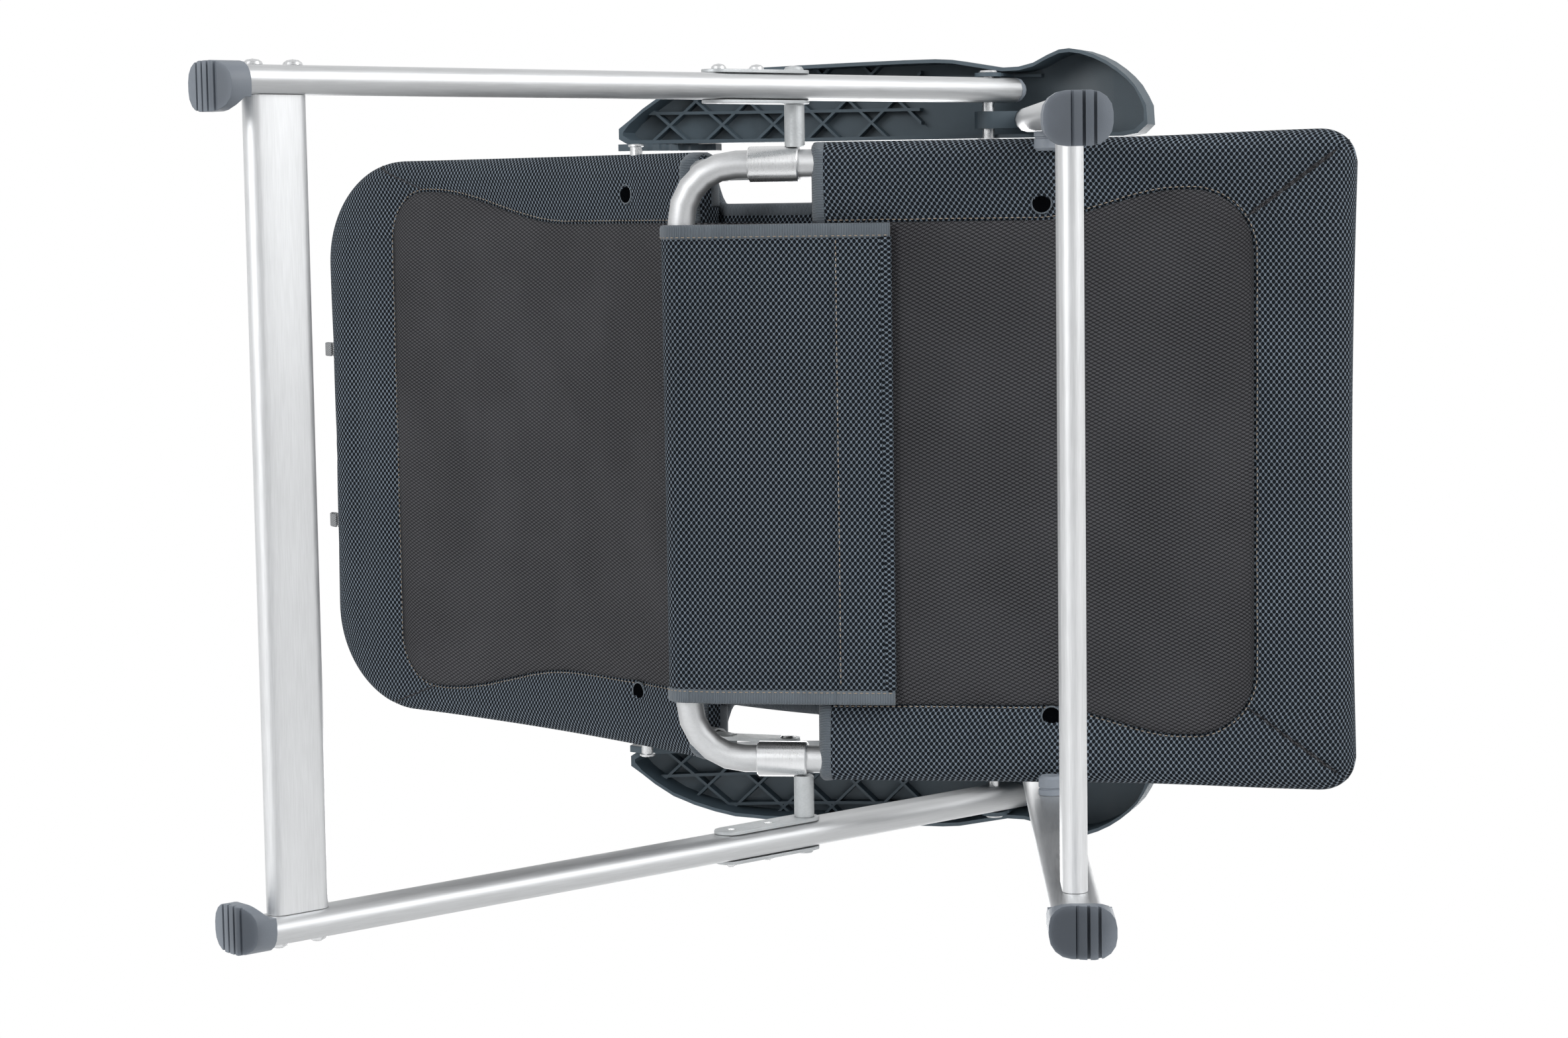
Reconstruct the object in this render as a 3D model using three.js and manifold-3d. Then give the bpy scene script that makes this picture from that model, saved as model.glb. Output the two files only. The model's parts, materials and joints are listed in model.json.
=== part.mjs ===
// Reclining folding camp chair: oval aluminium legs, padded mesh seat and back, plastic armrests.
// Millimetres, +Z up. The sitter faces -Y, +X is the sitter's left, the floor is z = 0.
import * as THREE from 'three';
import { mergeVertices } from 'three/addons/utils/BufferGeometryUtils.js';
import Module from 'manifold-3d';

const wasm = await Module();
wasm.setup();

const DEG = Math.PI / 180;
const GAP = 0.3;

// Side view: forward is measured from the front soles, positive towards the front of the chair.
const MIDDLE_FORWARD = -403.2;
const REAR_SOLE_FORWARD = -608;
const REAR_LEG_ANGLE = 59.7 * DEG;
const REAR_LEG_LENGTH = 765.6;
const APEX_FROM_END = 22;
const SEAT_PIVOT_UP = 532;
const FRONT_LEG_LENGTH = 689;
const FRONT_LEG_ANGLE = 106.6 * DEG;
const FRONT_LEG_CANT = 0.85 * DEG;
const SEAT_SLOPE = 10.7 * DEG;
const BACK_ELEVATION = 35 * DEG;

// Half widths across the chair, to the middle of each tube, at the top of a front leg.
const REAR_LEG_X = 294.7;
const FRONT_LEG_X = 270.2;
const SEAT_TUBE_X = 235.5;
const BACK_TUBE_X = 230;

// Tube sections.
const LEG_DEPTH = 36;
const LEG_WIDTH = 20;
const LEG_WALL = 2;
const BAR_DEPTH = 48;
const BAR_WIDTH = 17;
const TUBE_RADIUS = 11;
const TUBE_WALL = 1.5;
const CORNER_STEPS = 5;

// Seat, in the seat's own frame: its origin is the seat pivot and it runs forward along the tubes.
const SEAT_FRONT = 412;
const SEAT_REAR = -91;
const SEAT_CORNER = 45;
const REAR_CORNER = 44;
const SLEEVE_RADIUS = 14;
const SLEEVE_LENGTH = 40;
const SLEEVE_MIDDLE = -16.5;
const HINGE_RISE = 30;
const PAD_BELOW = 16;
const PAD_ABOVE = 25;
const PAD_BEVEL = 8;
const SEAT_PAD_X = 253;
const SEAT_PAD_REAR = 12;
const SEAT_PAD_CORNER = 24;
const SEAT_PAD_BOW = 5;
const PAD_EDGE = 20;
const COVER_X = 188;
const COVER_FRONT = 77;
const FLAP_THICKNESS = 3.5;
const PANEL_THICKNESS = 3;
const LUG_HALF = 3;
const HINGE_HOLE = 4.3;
const CHEEK = 3;
const STRUT_RADIUS = 8;

// Back, in the back's own frame: its origin is the back hinge and z runs up the back.
const BACK_START = 55;
const BACK_RADIUS = 1700;
const BACK_ARC_LENGTH = 482;
const BACK_CORNER = 92;
const BACK_SIDE_STEPS = 8;
const BACK_PAD_X = 247.5;
const BACK_PAD_START = 8;
const BACK_PAD_CORNER = 92;
const BACK_BANDS = 10;
const REST_PIN_ALONG = 100;
const REST_PIN_RADIUS = 5;
const REST_PIN_TIP_X = 254.9;
const HEAD_TAB_X = 78;

// Legs, measured up each leg from the floor.
const REAR_BAR_UP = 58.7;
const FRONT_BAR_UP = 122;
const BOLT_SPACING = 32;
const BRACKET_LOW = 454;
const BRACKET_RIVETS = [456, 494];
const PLATE = 2.7;
const FOOT_DEPTH = 43;
const FOOT_CORNER = 14;
const FOOT_OUTER = 12.4;
const FOOT_INNER = 22;
const SOLE_FLAT = 7;
const SOLE_WEB = 8;
const GROOVE_PITCH = 7;
const REAR_FOOT_HEIGHT = 24;
const FRONT_FOOT_HEIGHT = 46;
const CAP_HEIGHT = 7;
const HINGE_EAR = 14;
const BOLT_SHAFT = 3;
const KNOB_RADIUS = 9.5;
const KNOB_TIP_X = 242;
const AXLE_RADIUS = 5;

// Armrest, measured forward and up from its pivot at the top of the legs: (forward, top, thickness).
const ARM_SIDE = [[-298, -42, 31], [-235, -10, 34], [-150, 20, 38], [0, 50, 46], [70, 58, 44], [140, 40, 26]];
const ARM_REAR = -298;
const ARM_NOSE = 130;
const ARM_INNER_X = 255.5;
const ARM_OUTER = [[275, -290], [294, -268], [308, -238], [316, -205], [319, -140], [321, -60], [320, -28],
  [313, 10], [316, 34], [326, 54], [327, 70], [320, 90], [309, 107], [296, 120], [280, 129]];
const ARM_WALL = 3;
const ARM_RAIL_X = 307.2;
const BOSS_HALF = 1.6;
const RIB_HEIGHT = 13;
const RIB_SPACING = 40;
const CATCH_X = 249.6;
const CATCH_NOTCHES = 5;
const CATCH_NOTCH_STEP = 6.5 * DEG;
const CATCH_EXIT_SLOPE = 19 * DEG;

const colours = {
  anodised: new THREE.MeshStandardMaterial({ color: 0xb9bcbf, metalness: 0.9, roughness: 0.38 }),
  brushed: new THREE.MeshStandardMaterial({ color: 0xd2d4d6, metalness: 1.0, roughness: 0.3 }),
  cast: new THREE.MeshStandardMaterial({ color: 0xa4a8ab, metalness: 0.75, roughness: 0.5 }),
  steel: new THREE.MeshStandardMaterial({ color: 0xc8cacc, metalness: 1.0, roughness: 0.25 }),
  slate: new THREE.MeshStandardMaterial({ color: 0x3f4d55, metalness: 0.0, roughness: 0.55 }),
  grey: new THREE.MeshStandardMaterial({ color: 0x4b525a, metalness: 0.0, roughness: 0.6 }),
  padding: new THREE.MeshStandardMaterial({ color: 0x4a5560, metalness: 0.0, roughness: 0.9 }),
  charcoal: new THREE.MeshStandardMaterial({ color: 0x353437, metalness: 0.0, roughness: 0.9 }),
};

// ---- solids ----------------------------------------------------------------------------------

function toManifold(geometry) {
  const bare = geometry.index ? geometry.toNonIndexed() : geometry.clone();
  bare.deleteAttribute('normal');
  bare.deleteAttribute('uv');
  const merged = mergeVertices(bare, 1e-4);
  const vertProperties = new Float32Array(merged.attributes.position.array);
  const triVerts = new Uint32Array(merged.index.array);
  return new wasm.Manifold(new wasm.Mesh({ numProp: 3, vertProperties, triVerts }));
}

function toGeometry(manifold) {
  const mesh = manifold.getMesh();
  const geometry = new THREE.BufferGeometry();
  geometry.setAttribute('position', new THREE.BufferAttribute(new Float32Array(mesh.vertProperties), 3));
  geometry.setIndex(new THREE.BufferAttribute(new Uint32Array(mesh.triVerts), 1));
  geometry.computeVertexNormals();
  return geometry;
}

function cut(geometry, ...tools) {
  const body = tools.reduce((left, tool) => left.subtract(toManifold(tool)), toManifold(geometry));
  return toGeometry(body);
}

function join(...pieces) {
  return toGeometry(pieces.map(toManifold).reduce((left, right) => left.add(right)));
}

function common(first, second) {
  return toGeometry(toManifold(first).intersect(toManifold(second)));
}

function mirrored(geometry) {
  const copy = geometry.index ? geometry.toNonIndexed() : geometry.clone();
  const position = copy.attributes.position;
  for (let i = 0; i < position.count; i += 3) {
    const corners = [0, 2, 1].map((k) => new THREE.Vector3().fromBufferAttribute(position, i + k));
    corners.forEach((corner, k) => position.setXYZ(i + k, -corner.x, corner.y, corner.z));
  }
  copy.computeVertexNormals();
  return copy;
}

function addMesh(group, name, geometry, material) {
  const mesh = new THREE.Mesh(geometry, material.clone());
  mesh.name = name;
  group.add(mesh);
}

// Adds a left piece and its mirror image on the right.
function addPair(group, name, geometry, material) {
  addMesh(group, `${name}_L`, geometry, material);
  addMesh(group, `${name}_R`, mirrored(geometry), material);
}

// A stadium: a slot shape with round ends, long along y.
function stadium(width, depth, segments = 6) {
  const radius = width / 2;
  const reach = depth / 2 - radius;
  const points = [];
  for (let i = 0; i <= segments; i += 1) {
    const angle = (i / segments) * Math.PI;
    points.push(new THREE.Vector2(radius * Math.cos(angle), reach + radius * Math.sin(angle)));
  }
  for (let i = 0; i <= segments; i += 1) {
    const angle = Math.PI + (i / segments) * Math.PI;
    points.push(new THREE.Vector2(radius * Math.cos(angle), -reach + radius * Math.sin(angle)));
  }
  return new THREE.Shape(points);
}

// A straight oval tube along z, from z = low to z = high, with its long side along y.
function ovalTube(width, depth, wall, low, high) {
  const shape = stadium(width, depth);
  shape.holes.push(new THREE.Path(stadium(width - 2 * wall, depth - 2 * wall).getPoints(1)));
  const geometry = new THREE.ExtrudeGeometry(shape, { depth: high - low, bevelEnabled: false });
  return geometry.translate(0, 0, low);
}

// A solid oval bar along z.
function ovalBar(width, depth, low, high) {
  const shape = stadium(width, depth);
  return new THREE.ExtrudeGeometry(shape, { depth: high - low, bevelEnabled: false }).translate(0, 0, low);
}

// A profile drawn as (forward, up), carried across the chair from x = from to x = to.
function across(shape, from, to) {
  const geometry = new THREE.ExtrudeGeometry(shape, { depth: to - from, bevelEnabled: false });
  const basis = new THREE.Matrix4().makeBasis(
    new THREE.Vector3(0, -1, 0),
    new THREE.Vector3(0, 0, 1),
    new THREE.Vector3(-1, 0, 0),
  );
  return geometry.applyMatrix4(basis).translate(to, 0, 0);
}

// A round bar along x.
function barAcross(radius, from, to, forward = 0, up = 0, sides = 10) {
  const geometry = new THREE.CylinderGeometry(radius, radius, to - from, sides);
  return geometry.rotateZ(Math.PI / 2).translate((from + to) / 2, -forward, up);
}

// A turned piece along x: profile pairs are (radius, x), from the axis back to the axis.
function turnedAcross(profile, forward = 0, up = 0, sides = 14) {
  const points = profile.map(([radius, x]) => new THREE.Vector2(radius, x));
  return new THREE.LatheGeometry(points, sides).rotateZ(-Math.PI / 2).translate(0, -forward, up);
}

function polygon(pairs) {
  return new THREE.Shape(pairs.map(([x, y]) => new THREE.Vector2(x, y)));
}

// Adds a circular hole to a shape.
function drill(shape, x, y, radius, sides = 10) {
  const hole = new THREE.Path();
  hole.absarc(x, y, radius, 0, 2 * Math.PI, true);
  shape.holes.push(new THREE.Path(hole.getSpacedPoints(sides).slice(0, sides)));
  return shape;
}

// The outline round two circles and the straight flanks between them.
function linkShape(x0, y0, r0, x1, y1, r1, sides = 6) {
  const along = Math.atan2(y1 - y0, x1 - x0);
  const lean = Math.acos((r0 - r1) / Math.hypot(x1 - x0, y1 - y0));
  const points = [];
  for (let i = 0; i <= sides; i += 1) {
    const angle = along + lean + ((2 * Math.PI - 2 * lean) * i) / sides;
    points.push(new THREE.Vector2(x0 + r0 * Math.cos(angle), y0 + r0 * Math.sin(angle)));
  }
  for (let i = 0; i <= sides; i += 1) {
    const angle = along - lean + (2 * lean * i) / sides;
    points.push(new THREE.Vector2(x1 + r1 * Math.cos(angle), y1 + r1 * Math.sin(angle)));
  }
  return new THREE.Shape(points);
}

function ringShape(outer, inner, sides = 12) {
  const shape = new THREE.Shape();
  shape.absarc(0, 0, outer, 0, 2 * Math.PI, false);
  const ring = new THREE.Shape(shape.getSpacedPoints(sides).slice(0, sides));
  if (inner > 0) {
    drill(ring, 0, 0, inner, 8);
  }
  return ring;
}

// A flat U: up one side, round two corners and down the other side. place(x, along) puts the
// flat points in space, so that the U can also follow a curved back.
class UPath extends THREE.Curve {
  constructor(halfWidth, start, end, corner, sideSteps, place) {
    super();
    Object.assign(this, { halfWidth, start, end, corner, sideSteps, place });
    this.steps = 2 * (sideSteps + CORNER_STEPS + 1);
  }

  // The steps stay as getPoint sets them: most of them lie in the bends.
  getUtoTmapping(u) {
    return u;
  }

  getPoint(t) {
    const mirror = t > 0.5 ? -1 : 1;
    const step = (mirror > 0 ? t : 1 - t) * this.steps;
    const side = this.end - this.start - this.corner;
    const half = this.halfWidth - this.corner;
    if (step <= this.sideSteps) {
      return this.place(mirror * this.halfWidth, this.start + (side * step) / this.sideSteps);
    }
    const bend = Math.min((step - this.sideSteps) / CORNER_STEPS, 1);
    const angle = (bend * Math.PI) / 2;
    const across = Math.max(0, step - this.sideSteps - CORNER_STEPS);
    const x = half * (1 - across) + this.corner * Math.cos(angle);
    return this.place(mirror * x, this.end - this.corner + this.corner * Math.sin(angle));
  }
}

// A round tube along a path; inner = 0 makes a solid rod.
function pipe(path, outer, inner, sides = 12) {
  return new THREE.ExtrudeGeometry(ringShape(outer, inner, sides), {
    steps: path.steps,
    extrudePath: path,
    bevelEnabled: false,
  });
}

// A rectangle with rounded corners, from start to end; its end edge bows inwards in the middle.
function roundedOutline(halfWidth, start, end, cornerStart, cornerEnd, bow = 0, segments = 8) {
  const corner = (x, y, radius, from) => {
    const points = [];
    for (let i = 0; i <= segments; i += 1) {
      const angle = from + (i / segments) * (Math.PI / 2);
      points.push(new THREE.Vector2(x + radius * Math.cos(angle), y + radius * Math.sin(angle)));
    }
    return points;
  };
  const inner = halfWidth - cornerEnd;
  const edge = [0.6, 0.2, -0.2, -0.6].map((share) => {
    return new THREE.Vector2(share * inner, end - bow * (1 - share * share));
  });
  return new THREE.Shape([
    ...corner(inner, end - cornerEnd, cornerEnd, 0),
    ...(bow > 0 ? edge : []),
    ...corner(-inner, end - cornerEnd, cornerEnd, Math.PI / 2),
    ...corner(-halfWidth + cornerStart, start + cornerStart, cornerStart, Math.PI),
    ...corner(halfWidth - cornerStart, start + cornerStart, cornerStart, 1.5 * Math.PI),
  ]);
}

// ---- seat ------------------------------------------------------------------------------------

const seatPlace = (x, along) => new THREE.Vector3(x, -along, 0);
const seatFrontPath = new UPath(SEAT_TUBE_X, SLEEVE_MIDDLE + GAP, SEAT_FRONT, SEAT_CORNER, 1, seatPlace);
const rearPlace = (x, along) => new THREE.Vector3(-x, along, 0);
const seatRearPath = new UPath(SEAT_TUBE_X, -SLEEVE_MIDDLE + GAP, -SEAT_REAR, REAR_CORNER, 1, rearPlace);

function seatCushion() {
  const end = SEAT_FRONT + PAD_EDGE;
  const outline = roundedOutline(SEAT_PAD_X, SEAT_PAD_REAR, end, 10, SEAT_PAD_CORNER, SEAT_PAD_BOW);
  const slab = new THREE.ExtrudeGeometry(outline, {
    depth: PAD_ABOVE + PAD_BELOW - 2 * PAD_BEVEL,
    bevelThickness: PAD_BEVEL,
    bevelSize: PAD_BEVEL,
    bevelOffset: -PAD_BEVEL,
    bevelSegments: 1,
  });
  slab.translate(0, 0, PAD_BEVEL - PAD_BELOW).rotateZ(Math.PI);
  return cut(slab, pipe(seatFrontPath, TUBE_RADIUS + GAP, 0));
}

// A sleeve of mesh round the seat's rear tube, with a flap that runs forward under the seat.
function rearCover() {
  const wrap = TUBE_RADIUS + 4;
  const high = -PAD_BELOW - GAP;
  const low = high - FLAP_THICKNESS;
  const flapStart = SEAT_REAR + 34;
  const roll = linkShape(SEAT_REAR, 0, wrap, flapStart + 2, (low + high) / 2, FLAP_THICKNESS / 2, 10);
  const flap = polygon([[flapStart, low], [COVER_FRONT, low], [COVER_FRONT, high], [flapStart, high]]);
  const body = join(across(roll, -COVER_X, COVER_X), across(flap, -COVER_X, COVER_X));
  return cut(body, pipe(seatRearPath, TUBE_RADIUS + GAP, 0));
}

// The plain cloth that bridges the hinge end of the seat, above the flap.
function seatRearPanel() {
  const half = COVER_X - 6;
  const start = SEAT_REAR + 40;
  const end = SEAT_PAD_REAR - GAP;
  const outline = polygon([[-half, start], [half, start], [half, end], [-half, end]]);
  const slab = new THREE.ExtrudeGeometry(outline, { depth: PANEL_THICKNESS, bevelEnabled: false });
  return slab.rotateZ(Math.PI).translate(0, 0, 6 - PAD_BELOW);
}

function hingeSleeve() {
  const half = SLEEVE_LENGTH / 2;
  const bore = TUBE_RADIUS + GAP;
  const points = [
    new THREE.Vector2(bore, -half),
    new THREE.Vector2(SLEEVE_RADIUS - 1, -half),
    new THREE.Vector2(SLEEVE_RADIUS, 1 - half),
    new THREE.Vector2(SLEEVE_RADIUS, half - 1),
    new THREE.Vector2(SLEEVE_RADIUS - 1, half),
    new THREE.Vector2(bore, half),
    new THREE.Vector2(bore, -half),
  ];
  return new THREE.LatheGeometry(points, 18).translate(SEAT_TUBE_X, -SLEEVE_MIDDLE, 0);
}

// A plate that stands on the sleeve and carries the back's hinge pin.
function hingeLug() {
  const shape = linkShape(SLEEVE_MIDDLE, HINGE_RISE, 10, SLEEVE_MIDDLE, SLEEVE_RADIUS + 6, 5.7);
  drill(shape, SLEEVE_MIDDLE, HINGE_RISE, HINGE_HOLE);
  return across(shape, BACK_TUBE_X - LUG_HALF, BACK_TUBE_X + LUG_HALF);
}

function backPivotPin() {
  const low = BACK_TUBE_X - 7;
  const high = BACK_TUBE_X + 7;
  const shaft = HINGE_HOLE - GAP;
  const head = [[0, low - 2], [5, low - 1.4], [6.5, low], [shaft, low]];
  const tail = [[shaft, high], [6.5, high], [5, high + 1.4], [0, high + 2]];
  return turnedAcross([...head, ...tail], SLEEVE_MIDDLE, HINGE_RISE, 12);
}

// The strut between the seat sleeve and the rear leg, with its rivet head outside the bracket.
function seatPivotPin() {
  const start = SEAT_TUBE_X + SLEEVE_RADIUS - 1;
  const shoulder = REAR_LEG_X - LEG_WIDTH / 2 - 2 * GAP - PLATE;
  const outside = REAR_LEG_X + LEG_WIDTH / 2 + 2 * GAP + PLATE;
  const strut = [[0, start], [STRUT_RADIUS, start], [STRUT_RADIUS, shoulder], [AXLE_RADIUS, shoulder]];
  const rivet = [[AXLE_RADIUS, outside], [8, outside], [6.5, outside + 2.5], [0, outside + 3.5]];
  const pin = turnedAcross([...strut, ...rivet], 0, 0, 16);
  const sleeve = new THREE.CylinderGeometry(SLEEVE_RADIUS + GAP, SLEEVE_RADIUS + GAP, 80, 24);
  return cut(pin, sleeve.translate(SEAT_TUBE_X, -SLEEVE_MIDDLE, 0));
}

function buildSeat() {
  const seat = new THREE.Group();
  const bore = TUBE_RADIUS - TUBE_WALL;
  addMesh(seat, 'seat_front_tube', pipe(seatFrontPath, TUBE_RADIUS, bore), colours.anodised);
  addMesh(seat, 'seat_rear_tube', pipe(seatRearPath, TUBE_RADIUS, bore), colours.anodised);
  addPair(seat, 'hinge_sleeve', hingeSleeve(), colours.brushed);
  addPair(seat, 'hinge_lug', hingeLug(), colours.cast);
  addPair(seat, 'back_pivot_rivet', backPivotPin(), colours.steel);
  addPair(seat, 'seat_pivot_strut', seatPivotPin(), colours.cast);
  addMesh(seat, 'seat_cushion', seatCushion(), colours.padding);
  addMesh(seat, 'seat_rear_panel', seatRearPanel(), colours.charcoal);
  addMesh(seat, 'rear_bar_cover', rearCover(), colours.padding);
  return seat;
}

// ---- back ------------------------------------------------------------------------------------

// The back's middle surface bends backwards as it goes up. depth is measured towards the sitter.
function backPoint(x, along, depth) {
  const angle = Math.max(0, along - BACK_START) / BACK_RADIUS;
  const straight = Math.min(along, BACK_START);
  const radius = BACK_RADIUS + depth + HINGE_RISE;
  const forward = radius * Math.cos(angle) - BACK_RADIUS - HINGE_RISE;
  const up = straight + radius * Math.sin(angle);
  return new THREE.Vector3(x, -forward, up);
}

const BACK_END = BACK_START + BACK_ARC_LENGTH;
const backPlace = (x, along) => backPoint(x, along, -HINGE_RISE);
const backPath = new UPath(BACK_TUBE_X, BACK_START, BACK_END, BACK_CORNER, BACK_SIDE_STEPS, backPlace);

// Bends a flat slab, drawn with x across, y up the back and z towards the sitter, along the back.
function bendToBack(geometry) {
  const position = geometry.attributes.position;
  for (let i = 0; i < position.count; i += 1) {
    const point = backPoint(position.getX(i), position.getY(i), position.getZ(i));
    position.setXYZ(i, point.x, point.y, point.z);
  }
  return geometry;
}

// The back pad: a curved side profile carried across, trimmed to the rounded outline of the frame.
function backCushion() {
  const start = BACK_START + BACK_PAD_START;
  const end = BACK_END + PAD_EDGE;
  const edge = (depth) => {
    const points = [];
    for (let i = 0; i <= BACK_BANDS; i += 1) {
      const point = backPoint(0, start + ((end - start) * i) / BACK_BANDS, depth);
      points.push(new THREE.Vector2(-point.y, point.z));
    }
    return points;
  };
  const profile = new THREE.Shape([...edge(-HINGE_RISE - PAD_BELOW), ...edge(-1).reverse()].reverse());
  const top = backPoint(0, end, -HINGE_RISE).z;
  const outline = roundedOutline(BACK_PAD_X, start - 20, top + 3, 10, BACK_PAD_CORNER);
  const trim = new THREE.ExtrudeGeometry(outline, { depth: 400, bevelEnabled: false });
  trim.rotateX(Math.PI / 2).translate(0, 250, 0);
  const slab = common(across(profile, -BACK_PAD_X, BACK_PAD_X), trim);
  const reach = BACK_PAD_X + 10;
  const pinHole = (from, to) => barAcross(REST_PIN_RADIUS + 4, from, to, REST_PIN.forward, REST_PIN.up);
  const channel = pipe(backPath, TUBE_RADIUS + GAP, 0);
  return cut(slab, channel, pinHole(BACK_TUBE_X, reach), pinHole(-reach, -BACK_TUBE_X));
}

function restPinPlace() {
  const point = backPoint(0, BACK_START + REST_PIN_ALONG, -HINGE_RISE);
  return { forward: -point.y, up: point.z };
}

const REST_PIN = restPinPlace();

function backLowerPanel() {
  const outline = polygon([
    [-COVER_X + 6, 10],
    [COVER_X - 6, 10],
    [COVER_X + 14, BACK_START + BACK_PAD_START - GAP],
    [-COVER_X - 14, BACK_START + BACK_PAD_START - GAP],
  ]);
  const slab = new THREE.ExtrudeGeometry(outline, { depth: 3, bevelEnabled: false });
  return bendToBack(slab.translate(0, 0, -HINGE_RISE - 8));
}

// Two cheeks either side of the hinge lug, joined by a plug that fits inside the back tube.
function hingeFork() {
  const cheek = (from) => {
    const shape = linkShape(0, 0, 10, -HINGE_RISE, BACK_START - 12, 9);
    return across(drill(shape, 0, 0, HINGE_HOLE), from, from + CHEEK);
  };
  const bridge = new THREE.BoxGeometry(14, 16, 14).translate(BACK_TUBE_X, HINGE_RISE, BACK_START - 8);
  const plugRadius = TUBE_RADIUS - TUBE_WALL - 4 * GAP;
  const stem = new THREE.CylinderGeometry(plugRadius, plugRadius, 26, 16);
  stem.rotateX(Math.PI / 2).translate(BACK_TUBE_X, HINGE_RISE, BACK_START + 8);
  const inner = cheek(BACK_TUBE_X - LUG_HALF - 2 * GAP - CHEEK);
  const outer = cheek(BACK_TUBE_X + LUG_HALF + 2 * GAP);
  return join(inner, outer, bridge, stem);
}

function restPin() {
  const start = BACK_TUBE_X + TUBE_RADIUS - 2;
  const tip = REST_PIN_TIP_X;
  const collar = start + 4.5;
  const r = REST_PIN_RADIUS;
  const foot = [[0, start], [r + 3, start], [r + 3, collar], [r, collar]];
  const head = [[r, tip - 2.5], [r + 1.5, tip - 2], [r + 1.5, tip - 0.5], [r + 0.5, tip], [0, tip]];
  const pin = turnedAcross([...foot, ...head], REST_PIN.forward, REST_PIN.up, 12);
  return cut(pin, pipe(backPath, TUBE_RADIUS + GAP, 0));
}

// A small loop plate on the top edge of the back, where a head cushion is tied.
function headTab() {
  const shape = drill(linkShape(0, 0, 9, 0, 10, 9, 8), 0, 5, 4, 10);
  const tab = new THREE.ExtrudeGeometry(shape, { depth: 3, bevelEnabled: false });
  const place = backPoint(HEAD_TAB_X, BACK_END + PAD_EDGE + GAP + 9, -HINGE_RISE - 3);
  const lean = Math.PI / 2 + BACK_ARC_LENGTH / BACK_RADIUS;
  return tab.rotateX(lean).translate(place.x, place.y, place.z);
}

function buildBack() {
  const back = new THREE.Group();
  const bore = TUBE_RADIUS - TUBE_WALL;
  addMesh(back, 'back_tube', pipe(backPath, TUBE_RADIUS, bore), colours.anodised);
  addPair(back, 'back_hinge_fork', hingeFork(), colours.cast);
  addPair(back, 'armrest_rest_pin', restPin(), colours.steel);
  addMesh(back, 'back_cushion', backCushion(), colours.padding);
  addMesh(back, 'back_lower_panel', backLowerPanel(), colours.charcoal);
  addPair(back, 'head_cushion_tab', headTab(), colours.charcoal);
  return back;
}

// ---- legs ------------------------------------------------------------------------------------

// Everything below the floor, seen from a leg that leans by tilt.
function belowFloor(tilt) {
  return new THREE.BoxGeometry(400, 400, 100).translate(0, 0, -50).rotateX(-tilt);
}

// How far up the leg its sole starts, so that the lower edge of the sole is cut flat by the floor.
function soleStart(tilt) {
  return ((FOOT_DEPTH / 2) * Math.abs(Math.sin(tilt)) - SOLE_FLAT) / Math.cos(tilt);
}

// A boot round the end of the leg, wider towards the middle of the chair, with a ribbed sole.
function foot(legX, tilt, height) {
  const half = FOOT_DEPTH / 2;
  const low = soleStart(tilt);
  const top = low + height;
  const middle = (FOOT_OUTER - FOOT_INNER) / 2;
  const halfWidth = (FOOT_OUTER + FOOT_INNER) / 2;
  const outline = roundedOutline(halfWidth, -half, half, FOOT_CORNER, FOOT_CORNER, 0, 4);
  const block = new THREE.ExtrudeGeometry(outline, { depth: height, bevelEnabled: false });
  block.translate(middle, 0, low);
  const front = polygon([
    [-FOOT_INNER, low],
    [FOOT_OUTER, low],
    [FOOT_OUTER, top],
    [-FOOT_OUTER, top],
    [-FOOT_OUTER, low + 0.8 * height],
    [-FOOT_INNER, low + 10],
  ]);
  const taper = new THREE.ExtrudeGeometry(front, { depth: 80, bevelEnabled: false });
  taper.rotateX(Math.PI / 2).translate(0, 40, 0);
  const socket = ovalBar(LEG_WIDTH + 2 * GAP, LEG_DEPTH + 2 * GAP, low + SOLE_WEB, top + 5);
  const grooves = [-1.5, -0.5, 0.5, 1.5].map((step) => {
    return new THREE.BoxGeometry(60, 2, 5).translate(0, step * GROOVE_PITCH, low + 0.5);
  });
  return cut(common(block, taper), socket, belowFloor(tilt), ...grooves).translate(legX, 0, 0);
}

// An oval bar that crosses the chair between the legs.
function crossbar(halfLength, up) {
  const shape = stadium(BAR_WIDTH, BAR_DEPTH);
  const bore = stadium(BAR_WIDTH - 2 * LEG_WALL, BAR_DEPTH - 2 * LEG_WALL);
  shape.holes.push(new THREE.Path(bore.getPoints(1)));
  return across(shape, -halfLength, halfLength).translate(0, 0, up);
}

function domeBolt(shaftStart, headStart, up, radius = 7) {
  const shaft = [[0, shaftStart], [BOLT_SHAFT, shaftStart], [BOLT_SHAFT, headStart]];
  const head = [
    [radius, headStart],
    [radius * 0.9, headStart + 1.8],
    [radius * 0.6, headStart + 3.2],
    [0, headStart + 4],
  ];
  return turnedAcross([...shaft, ...head], 0, up, 12);
}

// A plug that fits inside the end of a leg.
function plug(low) {
  const inner = 2 * (LEG_WALL + GAP);
  return ovalBar(LEG_WIDTH - inner, LEG_DEPTH - inner, low - 12, low + 1);
}

function rearLegCap() {
  const low = REAR_LEG_LENGTH + GAP;
  const rim = ovalBar(LEG_WIDTH, LEG_DEPTH, low, low + CAP_HEIGHT / 2);
  const crown = ovalBar(LEG_WIDTH - 5, LEG_DEPTH - 5, low + 1, low + CAP_HEIGHT);
  return join(plug(REAR_LEG_LENGTH), rim, crown).translate(REAR_LEG_X, 0, 0);
}

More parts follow.
